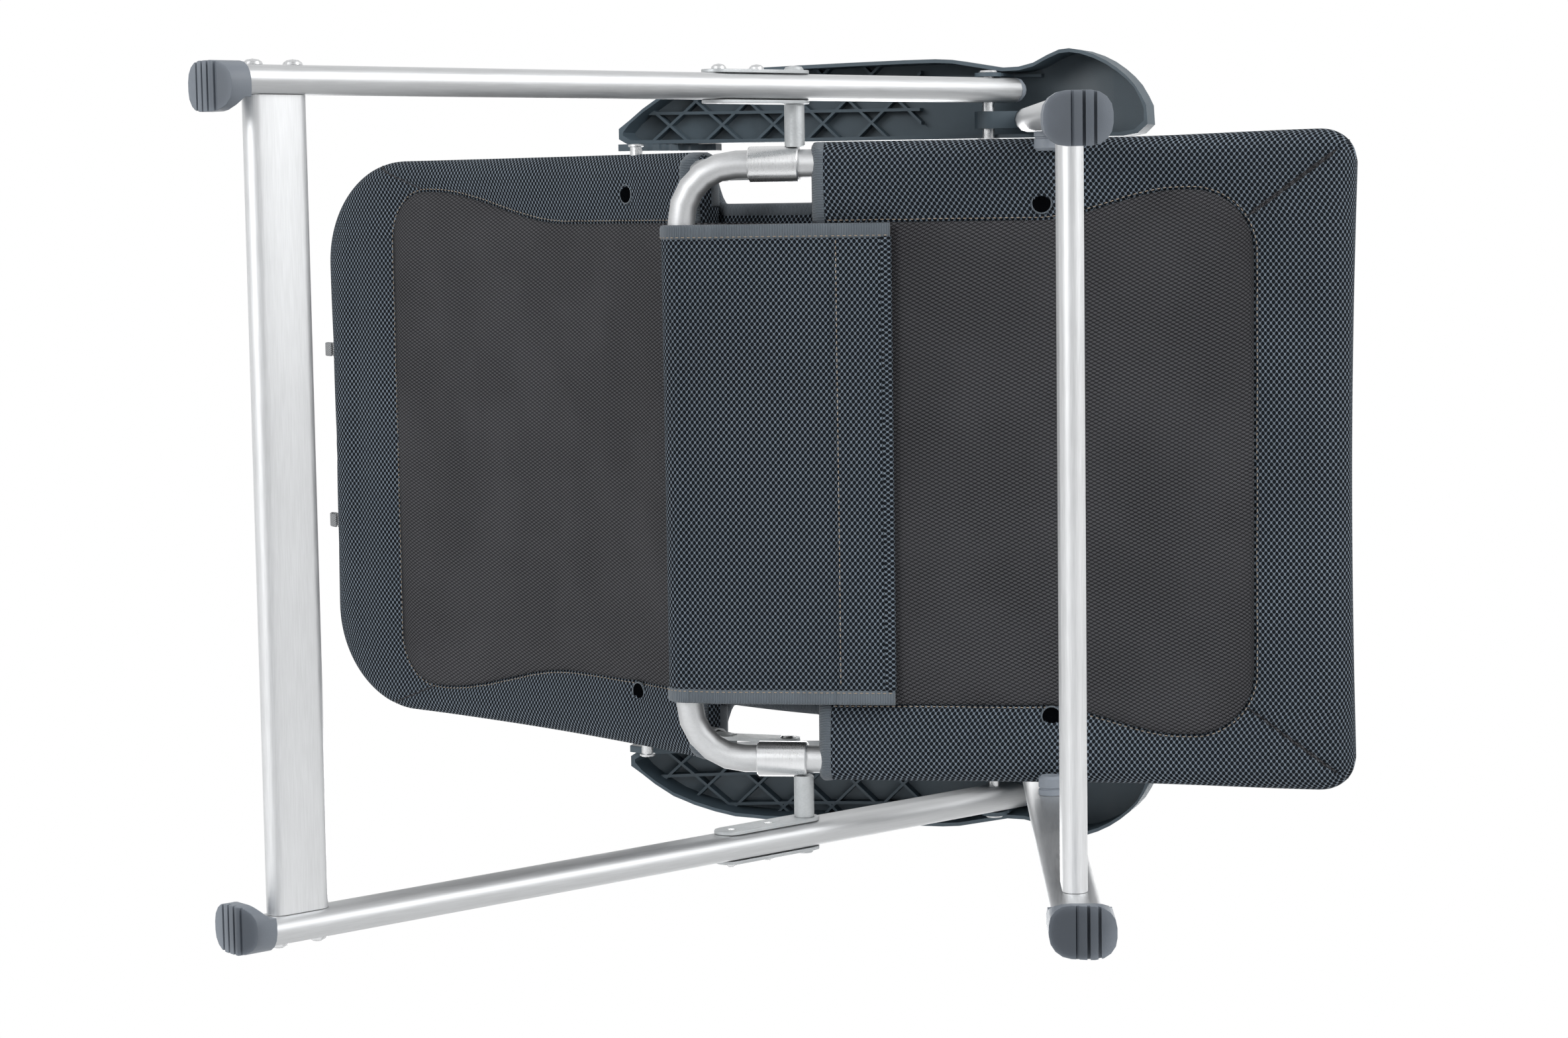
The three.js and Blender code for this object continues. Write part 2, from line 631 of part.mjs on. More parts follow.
function rearLegTube(tilt) {
  const tube = ovalTube(LEG_WIDTH, LEG_DEPTH, LEG_WALL, soleStart(tilt) + SOLE_WEB + GAP, REAR_LEG_LENGTH);
  const hole = (radius, up) => barAcross(radius + GAP, -20, 20, 0, up);
  return cut(
    tube,
    hole(AXLE_RADIUS, REAR_LEG_LENGTH - APEX_FROM_END),
    hole(AXLE_RADIUS, SEAT_PIVOT_UP),
    hole(BOLT_SHAFT, REAR_BAR_UP - BOLT_SPACING / 2),
    hole(BOLT_SHAFT, REAR_BAR_UP + BOLT_SPACING / 2),
    ...BRACKET_RIVETS.map((up) => hole(BOLT_SHAFT, up)),
  ).translate(REAR_LEG_X, 0, 0);
}

// One cheek of the bracket that stiffens the leg round the seat pivot.
function bracketPlate(from) {
  const plate = across(linkShape(0, BRACKET_LOW, 12, 0, SEAT_PIVOT_UP, 12.1), from, from + PLATE);
  const drillAt = (radius, up) => barAcross(radius + GAP, from - 5, from + 10, 0, up);
  const rivetHoles = BRACKET_RIVETS.map((up) => drillAt(BOLT_SHAFT, up));
  return cut(plate, drillAt(AXLE_RADIUS, SEAT_PIVOT_UP), ...rivetHoles);
}

function bracketRivet(up) {
  const outer = REAR_LEG_X + LEG_WIDTH / 2 + GAP + PLATE + GAP;
  const inner = REAR_LEG_X - LEG_WIDTH / 2 - GAP - PLATE;
  return domeBolt(inner, outer, up, 6);
}

function buildRearLegs(tilt) {
  const legs = new THREE.Group();
  const inside = REAR_LEG_X - LEG_WIDTH / 2;
  const outside = REAR_LEG_X + LEG_WIDTH / 2;
  addPair(legs, 'rear_leg_tube', rearLegTube(tilt), colours.anodised);
  addPair(legs, 'rear_leg_cap', rearLegCap(), colours.grey);
  addPair(legs, 'rear_foot', foot(REAR_LEG_X, tilt, REAR_FOOT_HEIGHT), colours.grey);
  addMesh(legs, 'rear_crossbar', crossbar(inside - GAP, REAR_BAR_UP), colours.anodised);
  for (const [name, side] of [['lower', -1], ['upper', 1]]) {
    const up = REAR_BAR_UP + (side * BOLT_SPACING) / 2;
    addPair(legs, `crossbar_bolt_${name}`, domeBolt(inside - 20, outside + GAP, up), colours.steel);
  }
  addPair(legs, 'seat_bracket_inner', bracketPlate(inside - GAP - PLATE), colours.cast);
  addPair(legs, 'seat_bracket_outer', bracketPlate(outside + GAP), colours.cast);
  addPair(legs, 'bracket_rivet_lower', bracketRivet(BRACKET_RIVETS[0]), colours.steel);
  addPair(legs, 'bracket_rivet_upper', bracketRivet(BRACKET_RIVETS[1]), colours.steel);
  return legs;
}

// How far a front leg has come in towards the middle, at a height up the leg.
function cantAt(up) {
  return (FRONT_LEG_LENGTH - up) * Math.tan(FRONT_LEG_CANT);
}

// Slants an upright left-hand piece, so that the front legs stand closer together at the floor.
function canted(geometry) {
  const slant = Math.tan(FRONT_LEG_CANT);
  const shear = new THREE.Matrix4().set(1, 0, slant, -cantAt(0), 0, 1, 0, 0, 0, 0, 1, 0, 0, 0, 0, 1);
  return geometry.applyMatrix4(shear);
}

function frontLegTube(tilt) {
  const low = soleStart(tilt) + SOLE_WEB + GAP;
  const tube = ovalTube(LEG_WIDTH, LEG_DEPTH, LEG_WALL, low, FRONT_LEG_LENGTH);
  return canted(tube.translate(FRONT_LEG_X, 0, 0));
}

// The plastic fitting in the top of a front leg: a plug, a lid and an ear that reaches back to the axle.
function frontLegHinge(apex) {
  const low = FRONT_LEG_LENGTH + GAP;
  const lid = ovalBar(LEG_WIDTH, LEG_DEPTH, low, low + CAP_HEIGHT);
  const ear = across(linkShape(0, low + 1, 6, apex.forward, apex.up, 11.5), -HINGE_EAR / 2, HINGE_EAR / 2);
  const clear = ovalBar(LEG_WIDTH + 2, LEG_DEPTH + 2 * GAP, low - 80, low);
  const hole = barAcross(AXLE_RADIUS + GAP, -20, 20, apex.forward, apex.up);
  return cut(join(cut(join(lid, ear), clear), plug(FRONT_LEG_LENGTH)), hole).translate(FRONT_LEG_X, 0, 0);
}

// The plastic knob that the seat rests on.
function seatKnob(up) {
  const base = FRONT_LEG_X - cantAt(up - KNOB_RADIUS) - LEG_WIDTH / 2 - GAP;
  const r = KNOB_RADIUS;
  const tip = [[0, KNOB_TIP_X], [r - 2, KNOB_TIP_X], [r, KNOB_TIP_X + 2]];
  const groove = [[r, base - 6], [r - 1, base - 5.5], [r - 1, base - 4.5], [r, base - 4]];
  return turnedAcross([...tip, ...groove, [r, base], [0, base]], 0, up, 16);
}

function buildFrontLegs(tilt, apex, knobUp) {
  const legs = new THREE.Group();
  addPair(legs, 'front_leg_tube', frontLegTube(tilt), colours.anodised);
  addPair(legs, 'front_leg_hinge', frontLegHinge(apex), colours.slate);
  addPair(legs, 'front_foot', canted(foot(FRONT_LEG_X, tilt, FRONT_FOOT_HEIGHT)), colours.grey);
  const barReach = FRONT_LEG_X - cantAt(FRONT_BAR_UP - BAR_DEPTH / 2) - LEG_WIDTH / 2 - GAP;
  addMesh(legs, 'front_crossbar', crossbar(barReach, FRONT_BAR_UP), colours.anodised);
  addPair(legs, 'seat_rest_knob', seatKnob(knobUp), colours.grey);
  return legs;
}

// ---- armrests --------------------------------------------------------------------------------

// The height of the armrest's top, or of a line a share of its thickness lower, as a smooth curve.
function armLine(share, drop = 0) {
  const points = ARM_SIDE.map(([forward, top, thick]) => {
    return new THREE.Vector2(forward, top - share * thick - drop);
  });
  return new THREE.SplineCurve(points).getPoints(14);
}

// The armrest's outline from above as (x, forward), a wall thinner all round by inset.
function armPlan(inset) {
  const tip = ARM_REAR + inset;
  const nose = ARM_NOSE - inset;
  const inner = ARM_INNER_X + inset;
  const edge = ARM_OUTER.map(([x, forward]) => {
    return new THREE.Vector2(x - inset, Math.min(Math.max(forward, tip), nose));
  });
  return new THREE.Shape([
    new THREE.Vector2(inner, nose - 20),
    new THREE.Vector2(inner, tip + 6),
    new THREE.Vector2(inner + 4, tip),
    new THREE.Vector2(268 - inset, tip),
    ...new THREE.SplineCurve(edge).getPoints(26),
    new THREE.Vector2(inner + 9, nose),
    new THREE.Vector2(inner + 2, nose - 8),
  ]);
}

function armSolid(inset, top, bottom) {
  const shape = new THREE.Shape([...top, ...bottom.slice().reverse()].reverse());
  const plan = new THREE.ExtrudeGeometry(armPlan(inset), { depth: 400, bevelEnabled: false });
  plan.scale(1, -1, -1).translate(0, 0, 200);
  return toManifold(across(shape, 240, 340)).intersect(toManifold(plan));
}

// Crossed ribs on the underside, and two long ribs beside the legs.
function armRibs() {
  const ribs = [];
  const lattice = (low, high, inner, outer) => {
    for (let forward = low; forward <= high; forward += RIB_SPACING) {
      for (const turn of [45 * DEG, -45 * DEG]) {
        const plate = new THREE.BoxGeometry(2, 160, 400).rotateZ(turn);
        plate.translate((inner + outer) / 2, -forward, 0);
        const window = new THREE.BoxGeometry(outer - inner, high - low, 400);
        window.translate((inner + outer) / 2, -(low + high) / 2, 0);
        ribs.push(toManifold(plate).intersect(toManifold(window)));
      }
    }
  };
  lattice(ARM_REAR + 12, -65, ARM_INNER_X, 326);
  const rail = (x, low, high) => {
    return new THREE.BoxGeometry(2.5, high - low, 400).translate(x, -(low + high) / 2, 0);
  };
  ribs.push(toManifold(rail(ARM_RAIL_X, -230, 34)));
  ribs.push(toManifold(rail(281, ARM_REAR, -66)));
  return ribs.reduce((left, right) => left.add(right));
}

function armShell() {
  const outside = armSolid(0, armLine(0), armLine(1));
  const inside = armSolid(ARM_WALL, armLine(0, ARM_WALL), armLine(1, 60));
  const underRoof = armSolid(ARM_WALL - 0.5, armLine(0, ARM_WALL - 0.5), armLine(0, RIB_HEIGHT));
  const pivotBoss = toManifold(barAcross(11, ARM_RAIL_X - BOSS_HALF, ARM_RAIL_X + BOSS_HALF, 0, 0, 20));
  const web = new THREE.BoxGeometry(2.5, 22, 60).translate(ARM_RAIL_X, 0, 20);
  const bossWeb = toManifold(web).intersect(outside);
  const axleHole = toManifold(barAcross(AXLE_RADIUS + GAP, 240, ARM_RAIL_X + 3.5));
  const shell = outside.subtract(inside).add(armRibs().intersect(underRoof)).add(bossWeb).add(pivotBoss);
  return toGeometry(shell.subtract(axleHole));
}

// The stepped catch at the armrest's rear end: its lower edge follows the path of the back's pin,
// and it is open to the rear, where the pin slides out as the legs fold.
function armCatch(hinge, pin) {
  const reach = Math.hypot(pin.forward - hinge.forward, pin.up - hinge.up);
  const start = Math.atan2(pin.up - hinge.up, pin.forward - hinge.forward);
  const clear = reach + REST_PIN_RADIUS + 2;
  const top = armLine(0, 3).filter((point) => point.x < -222);
  const body = new THREE.Shape([
    new THREE.Vector2(top[0].x + 2, pin.up - 4),
    new THREE.Vector2(top[top.length - 1].x, pin.up - 4),
    ...top.slice().reverse(),
  ]);
  const tools = [barAcross(clear, 200, 300, hinge.forward, hinge.up, 90)];
  for (let i = 0; i < CATCH_NOTCHES; i += 1) {
    const angle = start - i * CATCH_NOTCH_STEP;
    const forward = hinge.forward + (reach + 3) * Math.cos(angle);
    const up = hinge.up + (reach + 3) * Math.sin(angle);
    tools.push(barAcross(REST_PIN_RADIUS + 2.2, 200, 300, forward, up, 14));
  }
  const roof = REST_PIN_RADIUS + 3.2;
  const exit = new THREE.BoxGeometry(100, 60, 40).translate(0, 30, roof - 20).rotateX(CATCH_EXIT_SLOPE);
  tools.push(exit.translate(250, -pin.forward, pin.up));
  return cut(across(body, CATCH_X, ARM_INNER_X - GAP), ...tools);
}

function armAxle() {
  const r = AXLE_RADIUS;
  const inner = ARM_INNER_X - GAP;
  const outer = ARM_RAIL_X + BOSS_HALF + GAP;
  const head = [[0, inner - 2], [9, inner - 1.6], [9, inner], [r, inner]];
  const tail = [[r, outer], [8, outer], [7, outer + 1.6], [0, outer + 2]];
  return turnedAcross([...head, ...tail]);
}

function buildArmrests(hinge, pin) {
  const arms = new THREE.Group();
  addPair(arms, 'armrest_axle', armAxle(), colours.steel);
  addPair(arms, 'armrest_shell', armShell(), colours.slate);
  addPair(arms, 'recline_catch', armCatch(hinge, pin), colours.slate);
  return arms;
}

// ---- chair -----------------------------------------------------------------------------------

// Places a group so that its own up axis runs along a direction in the side view.
function placeGroup(group, forward, up, tilt) {
  group.position.set(0, MIDDLE_FORWARD - forward, up);
  group.rotation.x = tilt;
  group.updateMatrixWorld(true);
  return group;
}

// A point of a group, as (forward, up) in the side view.
function sidePoint(group, forward, up) {
  const point = new THREE.Vector3(0, -forward, up).applyMatrix4(group.matrixWorld);
  return { forward: MIDDLE_FORWARD - point.y, up: point.z };
}

function buildChair() {
  const rearTilt = Math.PI / 2 - REAR_LEG_ANGLE;
  const frontTilt = Math.PI / 2 - FRONT_LEG_ANGLE;
  const rearLegs = placeGroup(buildRearLegs(rearTilt), REAR_SOLE_FORWARD, 0, rearTilt);
  const apex = sidePoint(rearLegs, 0, REAR_LEG_LENGTH - APEX_FROM_END);
  const seatPivot = sidePoint(rearLegs, 0, SEAT_PIVOT_UP);

  const seat = placeGroup(buildSeat(), seatPivot.forward, seatPivot.up, -SEAT_SLOPE);
  const hinge = sidePoint(seat, SLEEVE_MIDDLE, HINGE_RISE);
  const back = placeGroup(buildBack(), hinge.forward, hinge.up, BACK_ELEVATION - Math.PI / 2);
  const pin = sidePoint(back, REST_PIN.forward, REST_PIN.up);

  const frontFrame = placeGroup(new THREE.Group(), 0, 0, frontTilt);
  const apexWorld = new THREE.Vector3(0, MIDDLE_FORWARD - apex.forward, apex.up);
  const apexLocal = frontFrame.worldToLocal(apexWorld);
  const knobDrop = PAD_BELOW + KNOB_RADIUS + 0.5;
  const rise = Math.cos(frontTilt) * Math.cos(SEAT_SLOPE) - Math.sin(frontTilt) * Math.sin(SEAT_SLOPE);
  const seatLine = seatPivot.up * Math.cos(SEAT_SLOPE) - seatPivot.forward * Math.sin(SEAT_SLOPE);
  const hingeEye = { forward: -apexLocal.y, up: apexLocal.z };
  const frontLegs = buildFrontLegs(frontTilt, hingeEye, (seatLine - knobDrop) / rise);
  placeGroup(frontLegs, 0, 0, frontTilt);

  const fromApex = (point) => ({ forward: point.forward - apex.forward, up: point.up - apex.up });
  const arms = placeGroup(buildArmrests(fromApex(hinge), fromApex(pin)), apex.forward, apex.up, 0);

  const chair = new THREE.Group();
  chair.add(seat, back, rearLegs, frontLegs, arms);
  return chair;
}

export default buildChair();
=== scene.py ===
import json
import math

import bmesh
import bpy
import numpy as np
from mathutils import Matrix, Vector, noise
from mathutils.bvhtree import BVHTree


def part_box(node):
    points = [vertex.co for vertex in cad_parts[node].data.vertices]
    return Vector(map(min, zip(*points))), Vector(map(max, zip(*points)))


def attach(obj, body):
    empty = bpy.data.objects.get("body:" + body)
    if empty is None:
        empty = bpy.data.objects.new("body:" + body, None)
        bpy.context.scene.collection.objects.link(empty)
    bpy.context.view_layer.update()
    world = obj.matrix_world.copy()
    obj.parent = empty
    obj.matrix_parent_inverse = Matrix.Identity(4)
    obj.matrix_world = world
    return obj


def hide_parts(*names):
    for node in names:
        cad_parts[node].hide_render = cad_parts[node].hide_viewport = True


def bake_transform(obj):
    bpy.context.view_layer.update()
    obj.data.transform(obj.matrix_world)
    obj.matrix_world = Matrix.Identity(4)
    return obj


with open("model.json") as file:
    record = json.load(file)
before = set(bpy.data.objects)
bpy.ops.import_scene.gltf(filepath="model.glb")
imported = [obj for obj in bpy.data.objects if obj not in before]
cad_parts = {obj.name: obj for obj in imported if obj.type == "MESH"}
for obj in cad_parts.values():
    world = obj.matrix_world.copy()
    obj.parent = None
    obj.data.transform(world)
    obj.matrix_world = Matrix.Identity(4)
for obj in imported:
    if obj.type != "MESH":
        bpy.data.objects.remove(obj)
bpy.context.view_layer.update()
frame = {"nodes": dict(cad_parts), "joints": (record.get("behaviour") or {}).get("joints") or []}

MM = 0.001
WELD_DISTANCE = 0.02 * MM

# ---- the chair's own measures ----

SEAT_SLOPE = math.radians(10.7)
BACK_ELEVATION = math.radians(35)
BACK_STRAIGHT = 55 * MM
BACK_RADIUS = 1700 * MM
HINGE_RISE = 30 * MM


def joint_place(name):
    joint = next(j for j in frame["joints"] if j["name"] == name)
    return np.array(joint["pos_m"], float)


SEAT_ORIGIN = joint_place("leg_fold")
BACK_ORIGIN = joint_place("back_recline")


def seat_space(x, forward, height):
    """World points from the seat's own frame: forward along its tubes and height off them, in metres."""
    x, forward, height = np.broadcast_arrays(x, forward, height)
    cos, sin = math.cos(SEAT_SLOPE), math.sin(SEAT_SLOPE)
    y = SEAT_ORIGIN[1] - forward * cos + height * sin
    z = SEAT_ORIGIN[2] + forward * sin + height * cos
    return np.stack([x, y, z], axis=-1)


def back_space(x, along, height):
    """World points from the back's own frame: along its tubes and height off them, towards the sitter."""
    x, along, height = np.broadcast_arrays(x, along, height)
    angle = np.maximum(0, along - BACK_STRAIGHT) / BACK_RADIUS
    radius = BACK_RADIUS + height
    out = radius * np.cos(angle) - BACK_RADIUS - HINGE_RISE
    up = np.minimum(along, BACK_STRAIGHT) + radius * np.sin(angle)
    cos, sin = math.cos(BACK_ELEVATION), math.sin(BACK_ELEVATION)
    y = BACK_ORIGIN[1] - out * sin + up * cos
    z = BACK_ORIGIN[2] + out * cos + up * sin
    return np.stack([x, y, z], axis=-1)


# ---- camera, light and floor ----

CAMERA_PLACE = Vector((-0.2085, -0.8854, -1.9739))
CAMERA_TARGET = Vector((0.0419, -0.0568, 0.4400))
CAMERA_UP = Vector((-0.9951, 0.0177, 0.0972))
CAMERA_LENS = 75.0
GLOW_ABOVE = 0.85
GLOW_BELOW = 0.38
FLOOR_REACH = 6.0


def look(obj, place, target, up):
    back = (place - target).normalized()
    right = up.cross(back).normalized()
    matrix = Matrix((right, back.cross(right), back)).transposed().to_4x4()
    matrix.translation = place
    obj.matrix_world = matrix


def build_camera():
    data = bpy.data.cameras.new("photo_camera")
    data.sensor_width = 36.0
    data.lens = CAMERA_LENS
    camera = bpy.data.objects.new("photo_camera", data)
    bpy.context.scene.collection.objects.link(camera)
    look(camera, CAMERA_PLACE, CAMERA_TARGET, CAMERA_UP)
    bpy.context.scene.camera = camera


def add_area_light(name, place, target, size, power):
    data = bpy.data.lights.new(name, "AREA")
    data.size = size
    data.energy = power
    light = bpy.data.objects.new(name, data)
    bpy.context.scene.collection.objects.link(light)
    look(light, Vector(place), Vector(target), Vector((0, 0.1, 1)))


def build_world():
    """A white backdrop, and a softer glow on the chair that is dimmer to its sides and below it."""
    world = bpy.data.worlds.new("studio")
    world.use_nodes = True
    tree = world.node_tree
    glow = tree.nodes["Background"]
    backdrop = tree.nodes.new("ShaderNodeBackground")
    backdrop.inputs["Color"].default_value = (1.0, 1.0, 1.0, 1.0)
    direction = tree.nodes.new("ShaderNodeTexCoord")
    split = tree.nodes.new("ShaderNodeSeparateXYZ")
    shade = tree.nodes.new("ShaderNodeMapRange")
    settings = {"From Min": -0.7, "From Max": 0.6, "To Min": GLOW_BELOW, "To Max": GLOW_ABOVE}
    for socket, value in settings.items():
        shade.inputs[socket].default_value = value
    path = tree.nodes.new("ShaderNodeLightPath")
    mix = tree.nodes.new("ShaderNodeMixShader")
    links = [
        (direction.outputs["Generated"], split.inputs[0]),
        (split.outputs["Z"], shade.inputs["Value"]),
        (shade.outputs["Result"], glow.inputs["Strength"]),
        (path.outputs["Is Camera Ray"], mix.inputs["Fac"]),
        (glow.outputs[0], mix.inputs[1]),
        (backdrop.outputs[0], mix.inputs[2]),
        (mix.outputs[0], tree.nodes["World Output"].inputs["Surface"]),
    ]
    for source, target in links:
        tree.links.new(source, target)
    glow.inputs["Color"].default_value = (1.0, 1.0, 1.0, 1.0)
    bpy.context.scene.world = world
    bpy.context.scene.view_settings.view_transform = "Standard"


def build_studio():
    build_world()
    middle = (0, 0, 0.45)
    add_area_light("front_light", (-1.6, -2.4, 0.2), middle, 1.4, 38)
    add_area_light("under_light", (-1.1, 1.0, -2.0), middle, 1.1, 34)
    add_area_light("top_light", (0.8, 0.6, 2.6), middle, 1.8, 40)


def build_floor():
    """A pale floor that shows from above only, so that the chair can be seen from below."""
    nodes = Nodes("studio_floor")
    pale = nodes.principled(color=(0.86, 0.86, 0.86), roughness=0.9)
    clear = nodes.add("ShaderNodeBsdfTransparent")
    mix = nodes.add("ShaderNodeMixShader")
    nodes.link(nodes.add("ShaderNodeNewGeometry").outputs["Backfacing"], mix.inputs["Fac"])
    nodes.link(pale.outputs["BSDF"], mix.inputs[1])
    nodes.link(clear.outputs["BSDF"], mix.inputs[2])
    nodes.link(mix.outputs["Shader"], nodes.output.inputs["Surface"])
    turns = [(-1, -1), (1, -1), (1, 1), (-1, 1)]
    corners = [(x * FLOOR_REACH, y * FLOOR_REACH, 0) for x, y in turns]
    floor = mesh_object("studio_floor", corners, [(0, 1, 2, 3)], nodes.material)
    floor.location.z = -0.001
    floor.visible_shadow = False


# ---- materials ----


class Nodes:
    """A material's node tree, with short calls for the nodes used here."""

    def __init__(self, name):
        self.material = bpy.data.materials.new(name)
        self.material.use_nodes = True
        self.tree = self.material.node_tree
        self.tree.nodes.clear()
        self.output = self.add("ShaderNodeOutputMaterial")

    def add(self, kind, **settings):
        node = self.tree.nodes.new(kind)
        for key, value in settings.items():
            setattr(node, key, value)
        return node

    def link(self, source, target):
        self.tree.links.new(source, target)

    def put(self, socket, value):
        if hasattr(value, "is_output"):
            self.link(value, socket)
        else:
            socket.default_value = value

    def principled(self, color, roughness, metallic=0.0, **more):
        shader = self.add("ShaderNodeBsdfPrincipled")
        values = {"Base Color": color, "Roughness": roughness, "Metallic": metallic, **more}
        for key, value in values.items():
            if isinstance(value, tuple) and len(value) == 3:
                value = (*value, 1.0)
            self.put(shader.inputs[key], value)
        self.link(shader.outputs["BSDF"], self.output.inputs["Surface"])
        return shader

    def math(self, operation, first, second=0.0):
        node = self.add("ShaderNodeMath", operation=operation)
        self.put(node.inputs[0], first)
        self.put(node.inputs[1], second)
        return node.outputs[0]

    def ramp(self, value, low, high, to_low=0.0, to_high=1.0):
        node = self.add("ShaderNodeMapRange", interpolation_type="SMOOTHSTEP")
        sockets = ["Value", "From Min", "From Max", "To Min", "To Max"]
        for socket, setting in zip(sockets, [value, low, high, to_low, to_high]):
            self.put(node.inputs[socket], setting)
        return node.outputs["Result"]

    def mix(self, factor, first, second):
        node = self.add("ShaderNodeMix", data_type="RGBA")
        self.put(node.inputs["Factor"], factor)
        for socket, value in [(node.inputs[6], first), (node.inputs[7], second)]:
            self.put(socket, (*value, 1.0) if isinstance(value, tuple) else value)
        return node.outputs[2]

    def mapped(self, vector, scale=(1, 1, 1), move=(0, 0, 0), turn=(0, 0, 0)):
        node = self.add("ShaderNodeMapping")
        self.link(vector, node.inputs["Vector"])
        node.inputs["Scale"].default_value = scale
        node.inputs["Location"].default_value = move
        node.inputs["Rotation"].default_value = turn
        return node.outputs["Vector"]

    def place(self):
        return self.add("ShaderNodeTexCoord").outputs["Object"]

    def cloth_place(self):
        return self.add("ShaderNodeUVMap", uv_map="cloth").outputs["UV"]

    def noise(self, vector, scale, detail=2.0):
        node = self.add("ShaderNodeTexNoise")
        self.link(vector, node.inputs["Vector"])
        node.inputs["Scale"].default_value = scale
        node.inputs["Detail"].default_value = detail
        return node.outputs["Fac"]

    def spots(self, vector):
        """The distance from the middles of a square lattice of points, one unit apart."""
        node = self.add("ShaderNodeTexVoronoi", voronoi_dimensions="2D")
        self.link(vector, node.inputs["Vector"])
        node.inputs["Scale"].default_value = 1.0
        node.inputs["Randomness"].default_value = 0.0
        return node.outputs["Distance"]

    def waves(self, vector, axis):
        """A thread profile, one thread per unit along an axis of the vector."""
        split = self.add("ShaderNodeSeparateXYZ")
        self.link(vector, split.inputs[0])
        turned = self.math("MULTIPLY", split.outputs[axis], math.tau)
        return self.math("SINE", turned)

    def bump(self, shader, height, distance, strength=1.0):
        node = self.add("ShaderNodeBump")
        node.inputs["Distance"].default_value = distance
        node.inputs["Strength"].default_value = strength
        self.link(height, node.inputs["Height"])
        self.link(node.outputs["Normal"], shader.inputs["Normal"])


def spacer_mesh_material():
    """Padded mesh: rows of small holes, each row half a step off the last, in a knitted face. The holes are
    painted near-black as the shade in their depth, and the knit's raised threads are painted paler as a
    highlight.
    """
    nodes = Nodes("spacer_mesh_cloth")
    flat = nodes.cloth_place()
    cell = (1 / (5.3 * MM), 1 / (4.3 * MM), 1)
    first = nodes.spots(nodes.mapped(flat, cell))
    second = nodes.spots(nodes.mapped(flat, cell, move=(0.5, 0.5, 0)))
    nearest = nodes.math("MINIMUM", first, second)
    face = nodes.ramp(nearest, 0.25, 0.38)
    knit = nodes.waves(nodes.mapped(flat, (1 / (1.2 * MM), 1 / (0.9 * MM), 1)), "X")
    wear = nodes.noise(nodes.place(), 9.0, 4.0)
    tone = nodes.mix(nodes.ramp(wear, 0.35, 0.7), (0.128, 0.162, 0.200), (0.158, 0.198, 0.242))
    # painted highlight: the knit's raised threads take a paler colour than its troughs
    thread = nodes.mix(nodes.ramp(knit, -1, 1, 0.0, 0.35), tone, (0.19, 0.235, 0.285))
    # painted shade: the holes get a near-black colour for the shade inside them
    color = nodes.mix(face, (0.010, 0.012, 0.015), thread)
    shader = nodes.principled(color, nodes.ramp(wear, 0.3, 0.7, 0.72, 0.85))
    nodes.link(nodes.math("MULTIPLY", face, 0.12), shader.inputs["Sheen Weight"])
    nodes.link(nodes.math("MULTIPLY", face, 0.35), shader.inputs["Specular IOR Level"])
    height = nodes.math("MULTIPLY_ADD", knit, 0.12)
    nodes.link(face, height.node.inputs[2])
    nodes.bump(shader, height, 1.0 * MM)
    return nodes.material


def plain_weave_material(name, dark, light, pitch, sheen):
    """A weave of two sets of crossing threads, with staggered short floats that stand out of it. Its colour
    runs from dark in the valleys to pale on the raised threads, which is painted shade, and a random wear
    tone is added.
    """
    nodes = Nodes(name)
    threads = nodes.mapped(nodes.cloth_place(), (1 / pitch, 1 / pitch, 1))
    plain = nodes.math("MULTIPLY", nodes.waves(threads, "X"), nodes.waves(threads, "Y"))
    cell = (0.5 / pitch, 0.25 / pitch, 1)
    first = nodes.spots(nodes.mapped(nodes.cloth_place(), cell))
    second = nodes.spots(nodes.mapped(nodes.cloth_place(), cell, move=(0.5, 0.5, 0)))
    float_place = nodes.ramp(nodes.math("MINIMUM", first, second), 0.18, 0.36, 1.6, -0.2)
    over = nodes.math("ADD", plain, float_place)
    wear = nodes.noise(nodes.place(), 14.0, 5.0)
    # painted shade: the colour darkens with the weave's relief towards the valleys between threads, and the
    # wear noise adds random tone
    valley_shade_and_wear = nodes.math("MULTIPLY_ADD", nodes.ramp(over, -0.8, 2.0), 0.85)
    nodes.link(nodes.ramp(wear, 0.3, 0.75, 0.0, 0.12), valley_shade_and_wear.node.inputs[2])
    color = nodes.mix(valley_shade_and_wear, dark, light)
    shader = nodes.principled(color, nodes.ramp(over, -1, 1, 0.9, 0.7))
    shader.inputs["Sheen Weight"].default_value = sheen
    nodes.link(nodes.ramp(over, -1, 2, 0.05, 0.4), shader.inputs["Specular IOR Level"])
    nodes.bump(shader, over, 0.25 * MM)
    return nodes.material


def webbing_material():
    """A ribbed binding tape, painted darker in the troughs between its ribs as shade."""
    nodes = Nodes("webbing_binding")
    flat = nodes.cloth_place()
    ribs = nodes.waves(nodes.mapped(flat, (1, 1 / (1.3 * MM), 1)), "Y")
    wear = nodes.noise(nodes.place(), 30.0, 3.0)
    tone = nodes.mix(nodes.ramp(wear, 0.3, 0.7), (0.105, 0.130, 0.155), (0.150, 0.180, 0.210))
    # painted shade: the troughs between the ribs take a darker colour
    color = nodes.mix(nodes.ramp(ribs, -1, 0.4), (0.060, 0.076, 0.092), tone)
    shader = nodes.principled(color, 0.75)
    shader.inputs["Sheen Weight"].default_value = 0.2
    nodes.bump(shader, ribs, 0.3 * MM)
    return nodes.material


